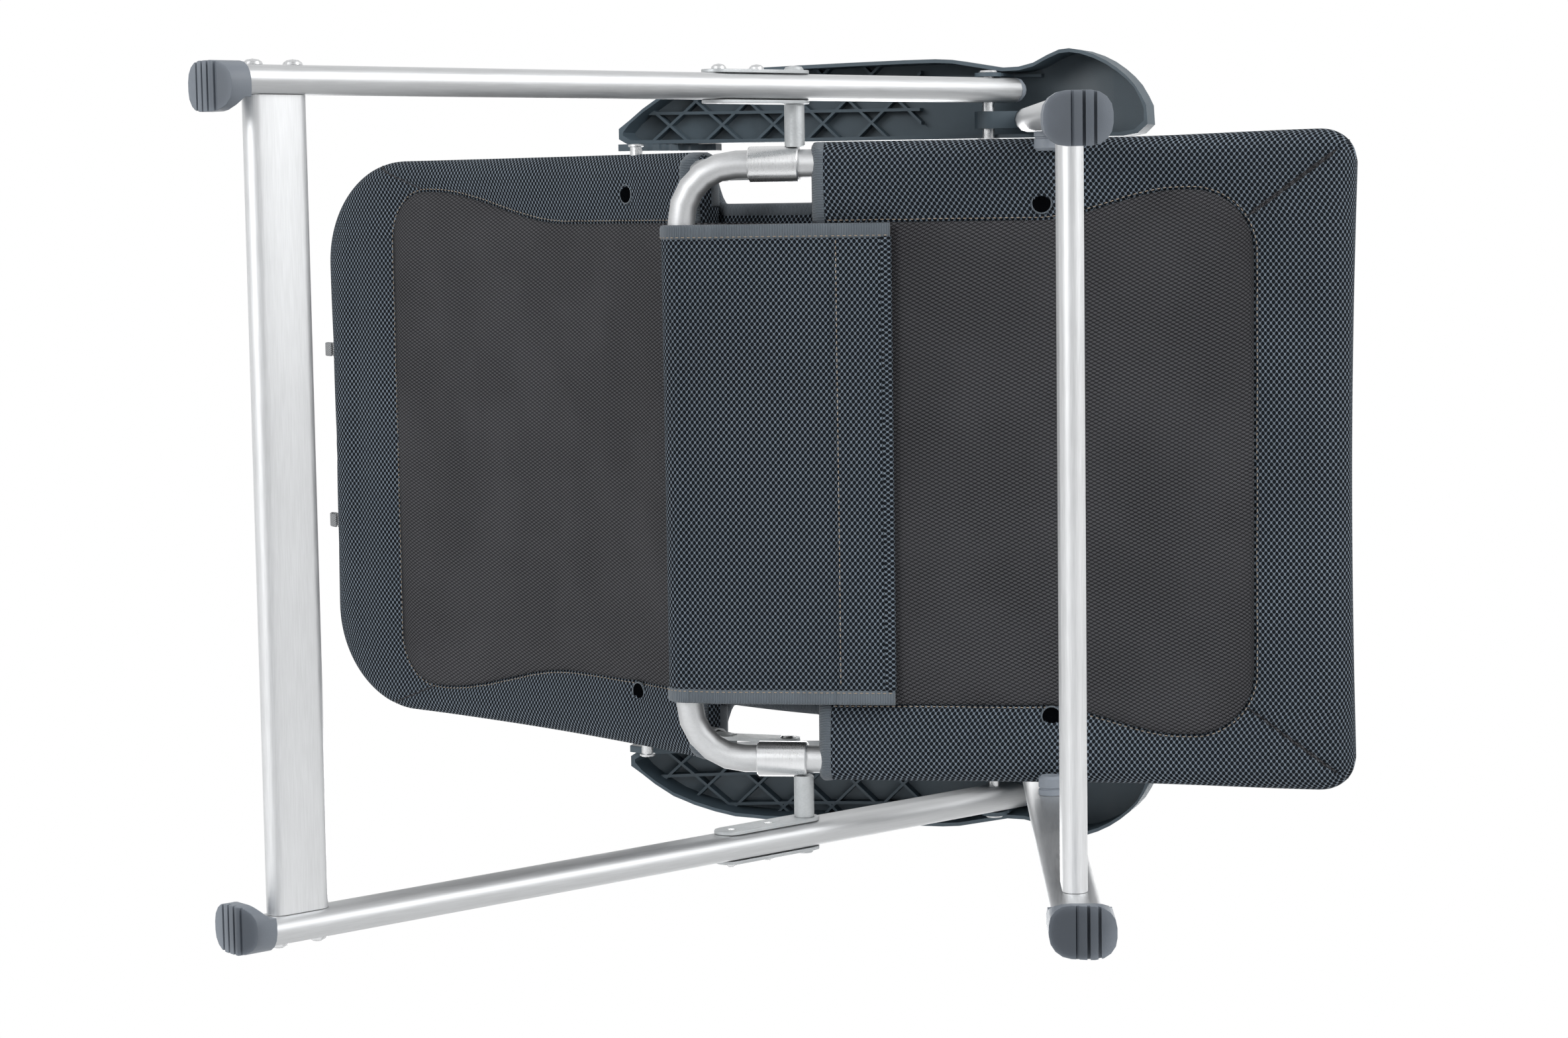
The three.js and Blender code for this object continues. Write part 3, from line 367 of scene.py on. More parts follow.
def vent_shade_material():
    """Painted shade: a near-black dish for the shaded inside of an eyelet."""
    nodes = Nodes("vent_hollow_shade")
    shade_mottle = nodes.noise(nodes.place(), 800.0)
    shader = nodes.principled(nodes.mix(shade_mottle, (0.0005, 0.0005, 0.001), (0.003, 0.0035, 0.004)), 0.95)
    shader.inputs["Specular IOR Level"].default_value = 0.0
    return nodes.material


def thread_material():
    nodes = Nodes("sewing_thread")
    twist = nodes.noise(nodes.place(), 900.0)
    color = nodes.mix(twist, (0.19, 0.155, 0.12), (0.40, 0.33, 0.26))
    shader = nodes.principled(color, 0.6)
    nodes.bump(shader, twist, 0.1 * MM)
    return nodes.material


def moulded_material(name, base, roughness):
    """Moulded plastic: a fine spark-eroded grain, and paler scuffs in large soft patches."""
    nodes = Nodes(name)
    place = nodes.place()
    grain = nodes.noise(place, 1500.0, 2.0)
    scuff = nodes.noise(place, 18.0, 6.0)
    worn = tuple(min(1.0, 1.45 * channel + 0.01) for channel in base)
    color = nodes.mix(nodes.ramp(scuff, 0.45, 0.8, 0.0, 0.5), base, worn)
    shader = nodes.principled(color, nodes.ramp(scuff, 0.3, 0.7, roughness, roughness + 0.14))
    nodes.bump(shader, grain, 0.12 * MM, 0.6)
    return nodes.material


LINE_STRETCH = 30.0


def drawn_metal_material(name, base, roughness, turn):
    """Drawn or brushed metal, with its fine lines along the piece. turn brings z onto that line."""
    nodes = Nodes(name)
    place = nodes.mapped(nodes.place(), turn=turn)
    lines = nodes.noise(nodes.mapped(place, (LINE_STRETCH, LINE_STRETCH, 1)), 45.0, 3.0)
    cloud = nodes.noise(place, 12.0, 3.0)
    darker = tuple(0.93 * channel for channel in base)
    color = nodes.mix(nodes.ramp(lines, 0.3, 0.7), darker, base)
    rough = nodes.math("MULTIPLY_ADD", nodes.ramp(cloud, 0.3, 0.7), 0.06)
    nodes.link(nodes.ramp(lines, 0.25, 0.75, roughness - 0.03, roughness + 0.04), rough.node.inputs[2])
    shader = nodes.principled(color, rough, metallic=1.0)
    nodes.bump(shader, lines, 0.015 * MM, 0.4)
    return nodes.material


def cast_material():
    nodes = Nodes("cast_aluminium")
    place = nodes.place()
    pits = nodes.noise(place, 700.0, 3.0)
    cloud = nodes.noise(place, 60.0, 3.0)
    color = nodes.mix(cloud, (0.42, 0.44, 0.45), (0.60, 0.62, 0.63))
    shader = nodes.principled(color, nodes.ramp(pits, 0.3, 0.7, 0.42, 0.6), metallic=0.85)
    nodes.bump(shader, pits, 0.15 * MM)
    return nodes.material


def steel_material():
    nodes = Nodes("plated_steel")
    place = nodes.place()
    marks = nodes.noise(place, 350.0, 3.0)
    color = nodes.mix(marks, (0.62, 0.63, 0.64), (0.80, 0.81, 0.82))
    shader = nodes.principled(color, nodes.ramp(marks, 0.3, 0.7, 0.2, 0.36), metallic=1.0)
    nodes.bump(shader, marks, 0.03 * MM)
    return nodes.material


ANODISED_ROUGHNESS = 0.44
SLEEVE_ROUGHNESS = 0.27
ANODISED = (0.66, 0.67, 0.68)
# painted light: the crossbars share the tubes' anodised finish but get a paler base than ANODISED
LIT_CROSSBAR_BASE = (0.82, 0.83, 0.84)
BRIGHT = (0.82, 0.83, 0.84)
SLATE = (0.050, 0.073, 0.091)
GREY_BLUE = (0.180, 0.202, 0.232)
# painted shade: the colour of the charcoal weave's valleys between its threads
CHARCOAL_VALLEY_SHADE = (0.004, 0.004, 0.005)
CHARCOAL_PALE = (0.078, 0.079, 0.087)

ACROSS = (0.0, math.radians(90), 0.0)


def anodised_material(name, tilt):
    """Anodised tube with its lines along a direction in the side view, tilt degrees back from upright."""
    return drawn_metal_material(name, ANODISED, ANODISED_ROUGHNESS, (math.radians(tilt), 0.0, 0.0))


spacer_mesh = spacer_mesh_material()
# the first colour of each weave is painted shade in the valleys between its threads
charcoal = plain_weave_material("charcoal_cloth", CHARCOAL_VALLEY_SHADE, CHARCOAL_PALE, 1.5 * MM, 0.02)
pale_tape = plain_weave_material("pale_tape", (0.16, 0.17, 0.18), (0.42, 0.43, 0.44), 1.0 * MM, 0.1)
webbing = webbing_material()
thread = thread_material()
vent_hollow_shade = vent_shade_material()
slate_plastic = moulded_material("slate_plastic", SLATE, 0.42)
grey_plastic = moulded_material("grey_plastic", GREY_BLUE, 0.48)
cast_aluminium = cast_material()
plated_steel = steel_material()
along_z = anodised_material("anodised_rear_leg", -30.3)
along_front_leg = anodised_material("anodised_front_leg", 16.6)
along_seat = anodised_material("anodised_seat_tube", 79.3)
along_back = anodised_material("anodised_back_tube", -47.0)
# painted light: the crossbars' anodised finish is given the paler base
along_x = drawn_metal_material("anodised_crossbar", LIT_CROSSBAR_BASE, ANODISED_ROUGHNESS, ACROSS)
bright_sleeve = drawn_metal_material("bright_sleeve", BRIGHT, SLEEVE_ROUGHNESS, ACROSS)


# ---- meshes ----


def mesh_object(name, vertices, faces, material, uv=None):
    """A mesh piece. uv holds the flat place of each vertex on the cloth, in metres."""
    mesh = bpy.data.meshes.new(name)
    mesh.from_pydata([tuple(v) for v in vertices], [], faces)
    mesh.materials.append(material)
    if uv is not None:
        layer = mesh.uv_layers.new(name="cloth")
        used = np.empty(len(mesh.loops), np.int32)
        mesh.loops.foreach_get("vertex_index", used)
        layer.data.foreach_set("uv", np.asarray(uv, np.float32)[used].ravel())
    mesh.polygons.foreach_set("use_smooth", np.full(len(mesh.polygons), True))
    obj = bpy.data.objects.new(name, mesh)
    bpy.context.scene.collection.objects.link(obj)
    return obj


def weld(obj, distance=WELD_DISTANCE):
    """Joins the vertices that lie on each other, and turns every face outwards."""
    work = bmesh.new()
    work.from_mesh(obj.data)
    bmesh.ops.remove_doubles(work, verts=work.verts, dist=distance)
    bmesh.ops.dissolve_degenerate(work, edges=work.edges, dist=distance)
    bmesh.ops.recalc_face_normals(work, faces=work.faces)
    work.to_mesh(obj.data)
    work.free()
    return obj


def grid_faces(rows, columns, first=0, closed=False):
    """Quads over a grid of vertices that is stored row by row."""
    faces = []
    for i in range(rows - 1):
        for j in range(columns if closed else columns - 1):
            k = (j + 1) % columns
            low, high = first + i * columns, first + (i + 1) * columns
            faces.append((low + j, low + k, high + k, high + j))
    return faces


def flat_places(points):
    """How far along the cloth each point of a grid lies, across and along, in metres."""
    across = np.linalg.norm(np.diff(points, axis=1), axis=2)
    across = np.concatenate([np.zeros((len(points), 1)), np.cumsum(across, axis=1)], axis=1)
    across -= across[:, [across.shape[1] // 2]]
    along = np.linalg.norm(np.diff(points, axis=0), axis=2)
    along = np.concatenate([np.zeros((1, points.shape[1])), np.cumsum(along, axis=0)], axis=0)
    return np.stack([across, along], axis=-1)


def shell_object(name, outer, inner, material):
    """A closed sheet between two grids of points, with a rim all round."""
    rows, columns = outer.shape[:2]
    count = rows * columns
    edge = [j for j in range(columns)]
    edge += [i * columns + columns - 1 for i in range(1, rows)]
    edge += [(rows - 1) * columns + j for j in reversed(range(columns - 1))]
    edge += [i * columns for i in reversed(range(1, rows - 1))]
    faces = grid_faces(rows, columns) + grid_faces(rows, columns, count)
    faces += [(a, b, b + count, a + count) for a, b in zip(edge, edge[1:] + edge[:1])]
    places = flat_places(outer).reshape(-1, 2)
    points = np.concatenate([outer.reshape(-1, 3), inner.reshape(-1, 3)])
    return weld(mesh_object(name, points, faces, material, np.concatenate([places, places])))


def grid_normals(points):
    """The unit normals of a grid of points."""
    across = np.gradient(points, axis=1)
    along = np.gradient(points, axis=0)
    normals = np.cross(across, along)
    return normals / np.maximum(np.linalg.norm(normals, axis=-1, keepdims=True), 1e-12)


def facing_normals(points, row, column, up):
    """A grid's normals, turned so that the one at (row, column) points up or down."""
    normals = grid_normals(points)
    return normals if (normals[row, column, 2] > 0) == up else -normals


def run_along(points):
    """How far along a line each of its points lies."""
    return np.concatenate([[0], np.cumsum(np.linalg.norm(np.diff(points, axis=0), axis=1))])


def sideways(count):
    """The x direction, once for each point of a line."""
    return np.tile([1.0, 0.0, 0.0], (count, 1))


def lofted_object(name, middles, sides, lifts, section, material):
    """A bar of a given section along a line. Each point of the section is (to the side, lifted)."""
    section = np.asarray(section, float)
    rings = middles[:, None] + sides[:, None] * section[None, :, :1] + lifts[:, None] * section[None, :, 1:]
    rows, columns = rings.shape[:2]
    faces = grid_faces(rows, columns, closed=True)
    faces.append(tuple(range(columns)))
    faces.append(tuple((rows - 1) * columns + j for j in range(columns)))
    run = run_along(middles)
    places = np.stack([np.tile(section[:, 0], rows), np.repeat(run, columns)], axis=-1)
    return weld(mesh_object(name, rings.reshape(-1, 3), faces, material, places))


def tape_section(width, thick, steps=4):
    """A flat tape with rounded edges."""
    section = []
    for side in (1, -1):
        for i in range(steps + 1):
            angle = math.pi * (i / steps - 0.5)
            reach = width / 2 - thick / 2 + thick / 2 * math.cos(angle)
            section.append((side * reach, side * thick / 2 * math.sin(angle)))
    return section


def smoothstep(low, high, value):
    t = np.clip((value - low) / (high - low), 0, 1)
    return t * t * (3 - 2 * t)


def eased(count, evenness):
    """Steps from 0 to 1 that lie closer together near both ends."""
    t = np.linspace(0, 1, count)
    return evenness * t + (1 - evenness) * (1 - np.cos(math.pi * t)) / 2


def corner_inside(side, end, radius):
    """How far a point lies inside two edges that meet in a rounded corner."""
    rounding = np.hypot(np.maximum(radius - side, 0), np.maximum(radius - end, 0))
    return radius - rounding + np.maximum(np.minimum(side, end) - radius, 0)


def ripple(points, scale, seed):
    """Smooth noise from -1 to 1 at each point. scale is a number of ripples per metre for each axis."""
    moved = np.asarray(points).reshape(-1, 3) * np.asarray(scale) + seed
    values = [noise.noise(Vector(p)) for p in moved]
    return np.array(values).reshape(np.asarray(points).shape[:-1])


# ---- padded seat and back ----


EDGE_ROUND = 16 * MM
EDGE_HEIGHT = 2 * MM
TOP_ROUND = 24 * MM
RECESS = 4.5 * MM
SEAM_DEPTH = 1.5 * MM
SEAM_WIDTH = 5.0 * MM
CREASE_DEPTH = 1.7 * MM
CREASE_WIDTH = 1.7 * MM
VENT_RADIUS = 9 * MM
VENT_PATCH = 20 * MM
VENT_DEPTH = 1.6 * MM
VENT_DIMPLE = 3 * MM
BORDER_WIDTH = 44 * MM
CHANNEL_WIDTH = 5 * MM
CHANNEL_DEPTH = 6 * MM


class Pad:
    """A pad on a tube frame: its rounded outline, its two faces, and the panel let into its underside."""

    def __init__(self, name, body, space, **sizes):
        self.name, self.body, self.space = name, body, space
        for key, value in sizes.items():
            setattr(self, key, value * MM if isinstance(value, (int, float)) else np.array(value) * MM)

    def half_at(self, along):
        """Half the outline's width at a distance along the pad."""
        to_start, to_end = along - self.start, self.end - along
        half = np.full(np.shape(along), self.half)
        for room, corner in [(to_start, self.start_corner), (to_end, self.end_corner)]:
            short = np.clip(corner - room, 0, corner)
            half = np.minimum(half, self.half - corner + np.sqrt(corner**2 - short**2))
        return half

    def inside(self, x, along):
        side = self.half - np.abs(x)
        near_end = corner_inside(side, self.end - along, self.end_corner)
        near_start = corner_inside(side, along - self.start, self.start_corner)
        return np.maximum(np.minimum(near_end, near_start), 0)

    def seam_half(self, along):
        """Half the width of the plain panel, which flares out before its far corners."""
        return self.seam + self.flare * smoothstep(self.flare_from, self.flare_to, along)

    def seam_inside(self, x, along):
        return corner_inside(self.seam_half(along) - np.abs(x), self.seam_end - along, self.seam_corner)

    def mitre(self, x, along):
        """The distance from the seam that runs out from the panel's corner to the pad's corner."""
        first, last = self.mitre_from, self.mitre_to
        run = last - first
        point = np.stack([np.abs(x), along + 0 * x], axis=-1) - first
        share = np.clip(point @ run / (run @ run), 0, 1)
        return np.linalg.norm(point - share[..., None] * run, axis=-1)

    def under(self, x, along):
        """The height of the underside: a roll round the tube, a seam, and the panel inside it."""
        inside, seam = self.inside(x, along), self.seam_inside(x, along)
        roll = np.sqrt(1 - (1 - np.clip(inside / EDGE_ROUND, 0, 1)) ** 2)
        height = -self.below + RECESS * smoothstep(-34 * MM, 4 * MM, seam)
        height = height + SEAM_DEPTH * np.exp(-((seam / SEAM_WIDTH) ** 2))
        height = height + self.mitre_depth / 2 * np.exp(-((self.mitre(x, along) / SEAM_WIDTH) ** 2))
        for place in self.vents:
            spread = np.hypot(x - place[0], along - place[1])
            height = height + VENT_DEPTH * (1 - smoothstep(VENT_RADIUS, VENT_PATCH, spread))
        return EDGE_HEIGHT + (height - EDGE_HEIGHT) * roll

    def top(self, x, along):
        """The height of the sitter's side: a crowned pad with a sewn border and sewn channels."""
        inside = self.inside(x, along)
        roll = np.sqrt(1 - (1 - np.clip(inside / TOP_ROUND, 0, 1)) ** 2)
        height = self.above - 2 * MM * (x / self.half) ** 2
        sewn = np.exp(-(((inside - BORDER_WIDTH) / CHANNEL_WIDTH) ** 2))
        for channel in self.channels:
            across = np.exp(-(((along - channel) / CHANNEL_WIDTH) ** 2))
            sewn = np.maximum(sewn, across * smoothstep(BORDER_WIDTH - 4 * MM, BORDER_WIDTH, inside))
        height = height - CHANNEL_DEPTH * sewn
        return EDGE_HEIGHT + (height - EDGE_HEIGHT) * roll

    def held(self, x, along):
        """Where sewing holds the pad, 1, and where it can swell, 0."""
        lines = [self.seam_inside(x, along), self.mitre(x, along)]
        lines += [along - channel for channel in self.channels]
        lines += [self.inside(x, along) - BORDER_WIDTH]
        near = np.min(np.abs(lines), axis=0)
        panel = smoothstep(-2 * MM, 2 * MM, self.seam_inside(x, along))
        return 1 - smoothstep(1.5 * MM, 7 * MM, near), panel


seat_pad = Pad(
    "seat_pad", "seat", seat_space,
    start=12, end=431, half=252.5, start_corner=6, end_corner=28, below=15.5, above=24,
    seam=189, flare=22, flare_from=190, flare_to=300, seam_end=355, seam_corner=48,
    mitre_from=(193, 354), mitre_to=(247, 428), mitre_depth=2.4, corner_out=4,
    vents=[(198, 198), (-202, 193)], channels=[112, 212, 312],
)
back_pad = Pad(
    "back_pad", "back", back_space,
    start=63, end=556, half=247, start_corner=6, end_corner=92, below=15.5, above=28,
    seam=190, flare=29, flare_from=240, flare_to=420, seam_end=468, seam_corner=42,
    mitre_from=(221, 431), mitre_to=(243, 487), mitre_depth=0.9, corner_out=0,
    vents=[(199, 152), (-214, 153)], channels=[150, 240, 330, 420],
)

PAD_ROWS = 96
PAD_COLUMNS = 112


def pad_grid(pad, face):
    """A grid of points over one face of a pad. The rows run along it, closer together at its edges."""
    along = (pad.start + (pad.end - pad.start) * eased(PAD_ROWS, 0.5))[:, None]
    x = pad.half_at(along) * (2 * eased(PAD_COLUMNS, 0.3) - 1)[None, :]
    along = np.broadcast_to(along, x.shape)
    return x, along, face(x, along)


def cornered(pad, x, along):
    """The places of a pad's points once the taut cloth has pushed its far corners outwards."""
    middle, reach = (pad.start + pad.end) / 2, (pad.end - pad.start) / 2
    beside = smoothstep(pad.half - 60 * MM, pad.half, np.abs(x))
    beyond = smoothstep(pad.end - 60 * MM, pad.end, along)
    wider = pad.corner_out * beside * smoothstep(0.1, 1.0, (along - middle) / reach)
    return x + np.sign(x) * wider, along + pad.corner_out * beyond * (x / pad.half) ** 2


def pucker(pad, x, along):
    """Small gathers in the cloth beside its seams, and broad soft dents."""
    flat = np.stack([x, along, 0 * x], axis=-1)
    seam = pad.seam_inside(x, along)
    gathers = ripple(flat, (55, 55, 1), 3.1) * np.exp(-((seam / (16 * MM)) ** 2))
    return 0.9 * MM * gathers + 0.8 * MM * ripple(flat, (14, 14, 1), 7.7)


def pad_object(pad):
    """The closed, padded body of a seat or back, with its cloth's flat places as UVs."""
    grids, places = [], []
    for face, sign in [(pad.under, -1), (pad.top, 1)]:
        x, along, height = pad_grid(pad, face)
        rim = smoothstep(0, 12 * MM, pad.inside(x, along))
        height = height + sign * rim * np.maximum(-0.8 * MM, pucker(pad, x, along))
        points = pad.space(*cornered(pad, x, along), height)
        grids.append(points.reshape(-1, 3))
        places.append(flat_places(points).reshape(-1, 2))
    count = PAD_ROWS * PAD_COLUMNS
    faces = grid_faces(PAD_ROWS, PAD_COLUMNS) + grid_faces(PAD_ROWS, PAD_COLUMNS, count)
    obj = mesh_object(pad.name, np.concatenate(grids), faces, spacer_mesh, np.concatenate(places))
    return weld(obj)


def flat_place_of(pad, points):
    """The (x, along, height) of world points in a pad's own frame."""
    x = points[:, 0]
    if pad.space is seat_space:
        y, z = SEAT_ORIGIN[1] - points[:, 1], points[:, 2] - SEAT_ORIGIN[2]
        cos, sin = math.cos(SEAT_SLOPE), math.sin(SEAT_SLOPE)
        return x, y * cos + z * sin, z * cos - y * sin
    y, z = points[:, 1] - BACK_ORIGIN[1], points[:, 2] - BACK_ORIGIN[2]
    cos, sin = math.cos(BACK_ELEVATION), math.sin(BACK_ELEVATION)
    up, out = y * cos + z * sin, z * cos - y * sin
    center = BACK_RADIUS + HINGE_RISE
    angle = np.arctan2(up - BACK_STRAIGHT, out + center)
    radius = np.hypot(up - BACK_STRAIGHT, out + center)
    bent = angle > 0
    along = np.where(bent, BACK_STRAIGHT + BACK_RADIUS * angle, up)
    return x, along, np.where(bent, radius - BACK_RADIUS, out + HINGE_RISE)


SWELL_STEPS = 20
SWELL_PRESSURE = 4.0
SWELL_CAP = 6 * MM


def swell(obj, pad):
    """Blows the pad up between its seams with a cloth simulation, and keeps the result in its mesh."""
    rest = np.array([v.co for v in obj.data.vertices], float)
    x, along, height = flat_place_of(pad, rest)
    lines, panel = pad.held(x, along)
    weights = np.maximum(lines, np.where(height < 0, panel, 0))
    group = obj.vertex_groups.new(name="sewn")
    for index, weight in enumerate(weights):
        group.add([index], float(weight), "REPLACE")
    cloth = obj.modifiers.new("swell", "CLOTH")
    settings = cloth.settings
    settings.use_pressure = True
    settings.uniform_pressure_force = SWELL_PRESSURE
    settings.vertex_group_mass = "sewn"
    settings.effector_weights.gravity = 0.0
    settings.quality = 5
    settings.mass = 0.2
    settings.tension_stiffness = 25
    settings.compression_stiffness = 25
    settings.bending_stiffness = 1.0
    cloth.collision_settings.use_collision = False
    cloth.point_cache.frame_start = 1
    cloth.point_cache.frame_end = SWELL_STEPS
    scene = bpy.context.scene
    for step in range(1, SWELL_STEPS + 1):
        scene.frame_set(step)
    swollen = obj.evaluated_get(bpy.context.evaluated_depsgraph_get()).to_mesh()
    moved = np.array([v.co for v in swollen.vertices], float) - rest
    obj.modifiers.remove(cloth)
    scene.frame_set(1)
    length = np.maximum(np.linalg.norm(moved, axis=1, keepdims=True), 1e-9)
    moved = moved * np.minimum(1, SWELL_CAP / length)
    obj.data.vertices.foreach_set("co", (rest + moved).astype(np.float32).ravel())
    obj.data.update()
    obj.vertex_groups.clear()


def finer(obj):
    """Applies one subdivision to a piece's mesh."""
    soft = obj.modifiers.new("finer", "SUBSURF")
    soft.levels = soft.render_levels = 1
    smooth = bpy.data.meshes.new_from_object(obj.evaluated_get(bpy.context.evaluated_depsgraph_get()))
    obj.modifiers.clear()
    obj.data = smooth


def carve_seams(obj, pad):
    """Presses sharp creases into the cloth along its sewn seams, and a dimple at each vent."""
    mesh = obj.data
    points = np.array([v.co for v in mesh.vertices], float)
    normals = np.array([v.normal for v in mesh.vertices], float)
    x, along, height = flat_place_of(pad, points)
    lower = height < EDGE_HEIGHT
    crease = pad.mitre_depth * np.exp(-((pad.mitre(x, along) / CREASE_WIDTH) ** 2))
    crease = np.maximum(crease, CREASE_DEPTH * np.exp(-((pad.seam_inside(x, along) / CREASE_WIDTH) ** 2)))
    inside = pad.inside(x, along)
    sewn = [inside - BORDER_WIDTH] + [np.where(inside > BORDER_WIDTH, along - c, 1) for c in pad.channels]
    upper = CREASE_DEPTH * np.exp(-((np.min(np.abs(sewn), axis=0) / CREASE_WIDTH) ** 2))
    depth = np.where(lower, crease, upper) * smoothstep(0, 5 * MM, inside)
    for place in pad.vents:
        spread = np.hypot(x - place[0], along - place[1])
        depth = depth + VENT_DIMPLE * lower * (1 - smoothstep(3 * MM, 7.5 * MM, spread))
    mesh.vertices.foreach_set("co", (points - normals * depth[:, None]).astype(np.float32).ravel())
    mesh.update()


class Surface:
    """The finished surface of a piece, for laying tapes, threads and vents on it."""

    def __init__(self, obj):
        mesh = obj.data
        vertices = [v.co[:] for v in mesh.vertices]
        self.tree = BVHTree.FromPolygons(vertices, [p.vertices[:] for p in mesh.polygons])

    def snap(self, points):
        """The nearest points on the surface, and its normals there."""
        flat = np.asarray(points).reshape(-1, 3)
        found = [self.tree.find_nearest(Vector(p)) for p in flat]
        places = np.array([f[0] for f in found]).reshape(np.shape(points))
        normals = np.array([f[1] for f in found]).reshape(np.shape(points))
        return places, normals

    def struck(self, start, way):
        """The point where a line from outside first meets the surface."""
        return np.array(self.tree.ray_cast(Vector(start), Vector(way))[0])


STITCH_LENGTH = 3.2 * MM
STITCH_GAP = 1.4 * MM
STITCH_RADIUS = 0.42 * MM
STITCH_LIFT = 0.1 * MM
TAPE_SINK = 0.6 * MM


def tape_on(name, surface, points, thick, material):
    """A tape that lies on a surface. points is a grid: rows along the tape, columns across it."""
    places, normals = surface.snap(points)
    columns = points.shape[1]
    dome = np.sin(np.linspace(0.12, 0.88, columns) * math.pi)[None, :, None]
    outer = places + normals * thick * dome
    return shell_object(name, outer, places - normals * TAPE_SINK, material)


def stitches_on(name, surface, points):
    """A row of stitches along a line that lies on a surface."""
    run = run_along(points)
    pitch = STITCH_LENGTH + STITCH_GAP
    count = max(1, int(run[-1] / pitch))
    ends = np.arange(count)[:, None] * pitch + np.array([0, STITCH_LENGTH])
    ends = np.stack([np.interp(ends, run, points[:, k]) for k in range(3)], axis=-1)
    places, normals = surface.snap(ends)
    places = places + normals * STITCH_LIFT
    vertices, faces = [], []
    for (first, last), (normal, _) in zip(places, normals):
        middle = (first + last) / 2
        side = np.cross(last - first, normal)
        side = side / max(np.linalg.norm(side), 1e-9) * STITCH_RADIUS
        ring = [side, normal * STITCH_RADIUS * 1.3, -side, -normal * STITCH_RADIUS]
        base = len(vertices)
        vertices += [first, last]
        vertices += [middle + 0.5 * (first - middle) + r for r in ring]
        vertices += [middle + 0.5 * (last - middle) + r for r in ring]
        for k in range(4):
            n = (k + 1) % 4
            faces.append((base, base + 2 + k, base + 2 + n))
            faces.append((base + 2 + k, base + 6 + k, base + 6 + n, base + 2 + n))
            faces.append((base + 1, base + 6 + n, base + 6 + k))
    return mesh_object(name, vertices, faces, thread)


def seam_line(pad, side, offset=0.0, steps=90):
    """Points (x, along) down one side of the panel's seam and round its corner to the middle."""
    straight = np.linspace(pad.start + 14 * MM, pad.seam_end - pad.seam_corner, steps // 2)
    half = pad.seam_half(pad.seam_end)
    turn = np.linspace(0, math.pi / 2, steps // 3)
    corner = pad.seam_corner
    x = [pad.seam_half(straight), half - corner + corner * np.cos(turn)]
    along = [straight, pad.seam_end - corner + corner * np.sin(turn)]
    x.append(np.linspace(half - corner, 0, steps // 4))
    along.append(np.full(steps // 4, pad.seam_end))
    line = np.stack([np.concatenate(x), np.concatenate(along)], axis=-1)
    heading = np.gradient(line, axis=0)
    heading /= np.linalg.norm(heading, axis=1, keepdims=True)
    line = line + offset * np.stack([heading[:, 1], -heading[:, 0]], axis=-1)
    return line * np.array([side, 1])


VENT_RIM = [(7.2, 1.5), (7.2, 3.6), (7.4, 3.9), (7.8, 4.0), (8.2, 3.7), (8.4, 3.0), (8.4, 1.5)]
# the profile of the near-black dish that is painted shade inside each eyelet
VENT_SHADE_DISH = [(7.15, 0.5), (7.15, 3.5), (6.2, 2.9), (3.0, 2.0), (0.3, 1.8)]


def build_vent(pad, surface, place):
    """A round eyelet: a rolled rim round a near-black dish that is painted shade for its hollow."""
    name = f"{pad.name}_vent_{'L' if place[0] > 0 else 'R'}"
    outside = pad.space(place[0], place[1], -60 * MM)
    inward = pad.space(place[0], place[1], 0.0) - outside
    normal = -inward / np.linalg.norm(inward)
    middle = surface.struck(outside, inward)
    across = np.cross(normal, pad.space(0.0, 1.0, 0.0) - pad.space(0.0, 0.0, 0.0))
    across /= np.linalg.norm(across)
    along = np.cross(normal, across)
    turn = np.linspace(0, math.tau, 28, endpoint=False)
    spokes = np.cos(turn)[:, None] * across + np.sin(turn)[:, None] * along

    def turned(part, profile, material):
        rings = [middle + normal * lift * MM + spokes * radius * MM for radius, lift in profile]
        vertices = np.concatenate(rings)
        ends = [tuple(range(len(turn))), tuple(len(vertices) - len(turn) + k for k in range(len(turn)))]
        places = np.stack([vertices @ across, vertices @ along], axis=-1)
        faces = grid_faces(len(rings), len(turn), closed=True) + ends
        return weld(mesh_object(part, vertices, faces, material, places), 0.01 * MM)

    rim = turned(name, VENT_RIM, webbing)
    # painted shade: a near-black dish stands in for the eyelet's shaded hollow
    shade_dish = turned(f"{name}_hole", VENT_SHADE_DISH, vent_hollow_shade)
    shade_dish.parent = rim
    return rim


BINDING_WIDTH = 12 * MM
# the width of the dark strip that is painted shade along each mitre seam
MITRE_SHADOW_WIDTH = 1.0 * MM


def pad_fittings(pad, body_object):
    """The tapes, stitches and vents that are sewn to a pad's border, and a dark strip along each mitre seam
    that is painted shade.
    """
    surface = Surface(body_object)
    pieces = []

    def under_points(line):
        x, along = line[..., 0], line[..., 1]
        return pad.space(x, along, pad.under(x, along))

    for side, letter in [(1, "L"), (-1, "R")]:
        line = seam_line(pad, side, offset=2.2 * MM)
        pieces.append(stitches_on(f"{pad.name}_seam_stitches_{letter}", surface, under_points(line)))
        # painted shade: a thin strip of dark charcoal cloth lies along each mitre seam's groove for the
        # shade in its slit
        run = pad.mitre_to - pad.mitre_from
        aside = np.array([run[1], -run[0]]) / np.linalg.norm(run) * MITRE_SHADOW_WIDTH / 2
        share = np.linspace(-0.06, 1.0, 40)[:, None, None]
        mitre_shadow = pad.mitre_from + share * run + np.array([-1, 0, 1])[:, None] * aside
        mitre_shadow = under_points(mitre_shadow * np.array([side, 1]))
        pieces.append(tape_on(f"{pad.name}_mitre_seam_{letter}", surface, mitre_shadow, 0.45 * MM, charcoal))
        pieces.append(end_binding(pad, surface, side, letter))
    for place in pad.vents:
        pieces.append(build_vent(pad, surface, place))
    return pieces


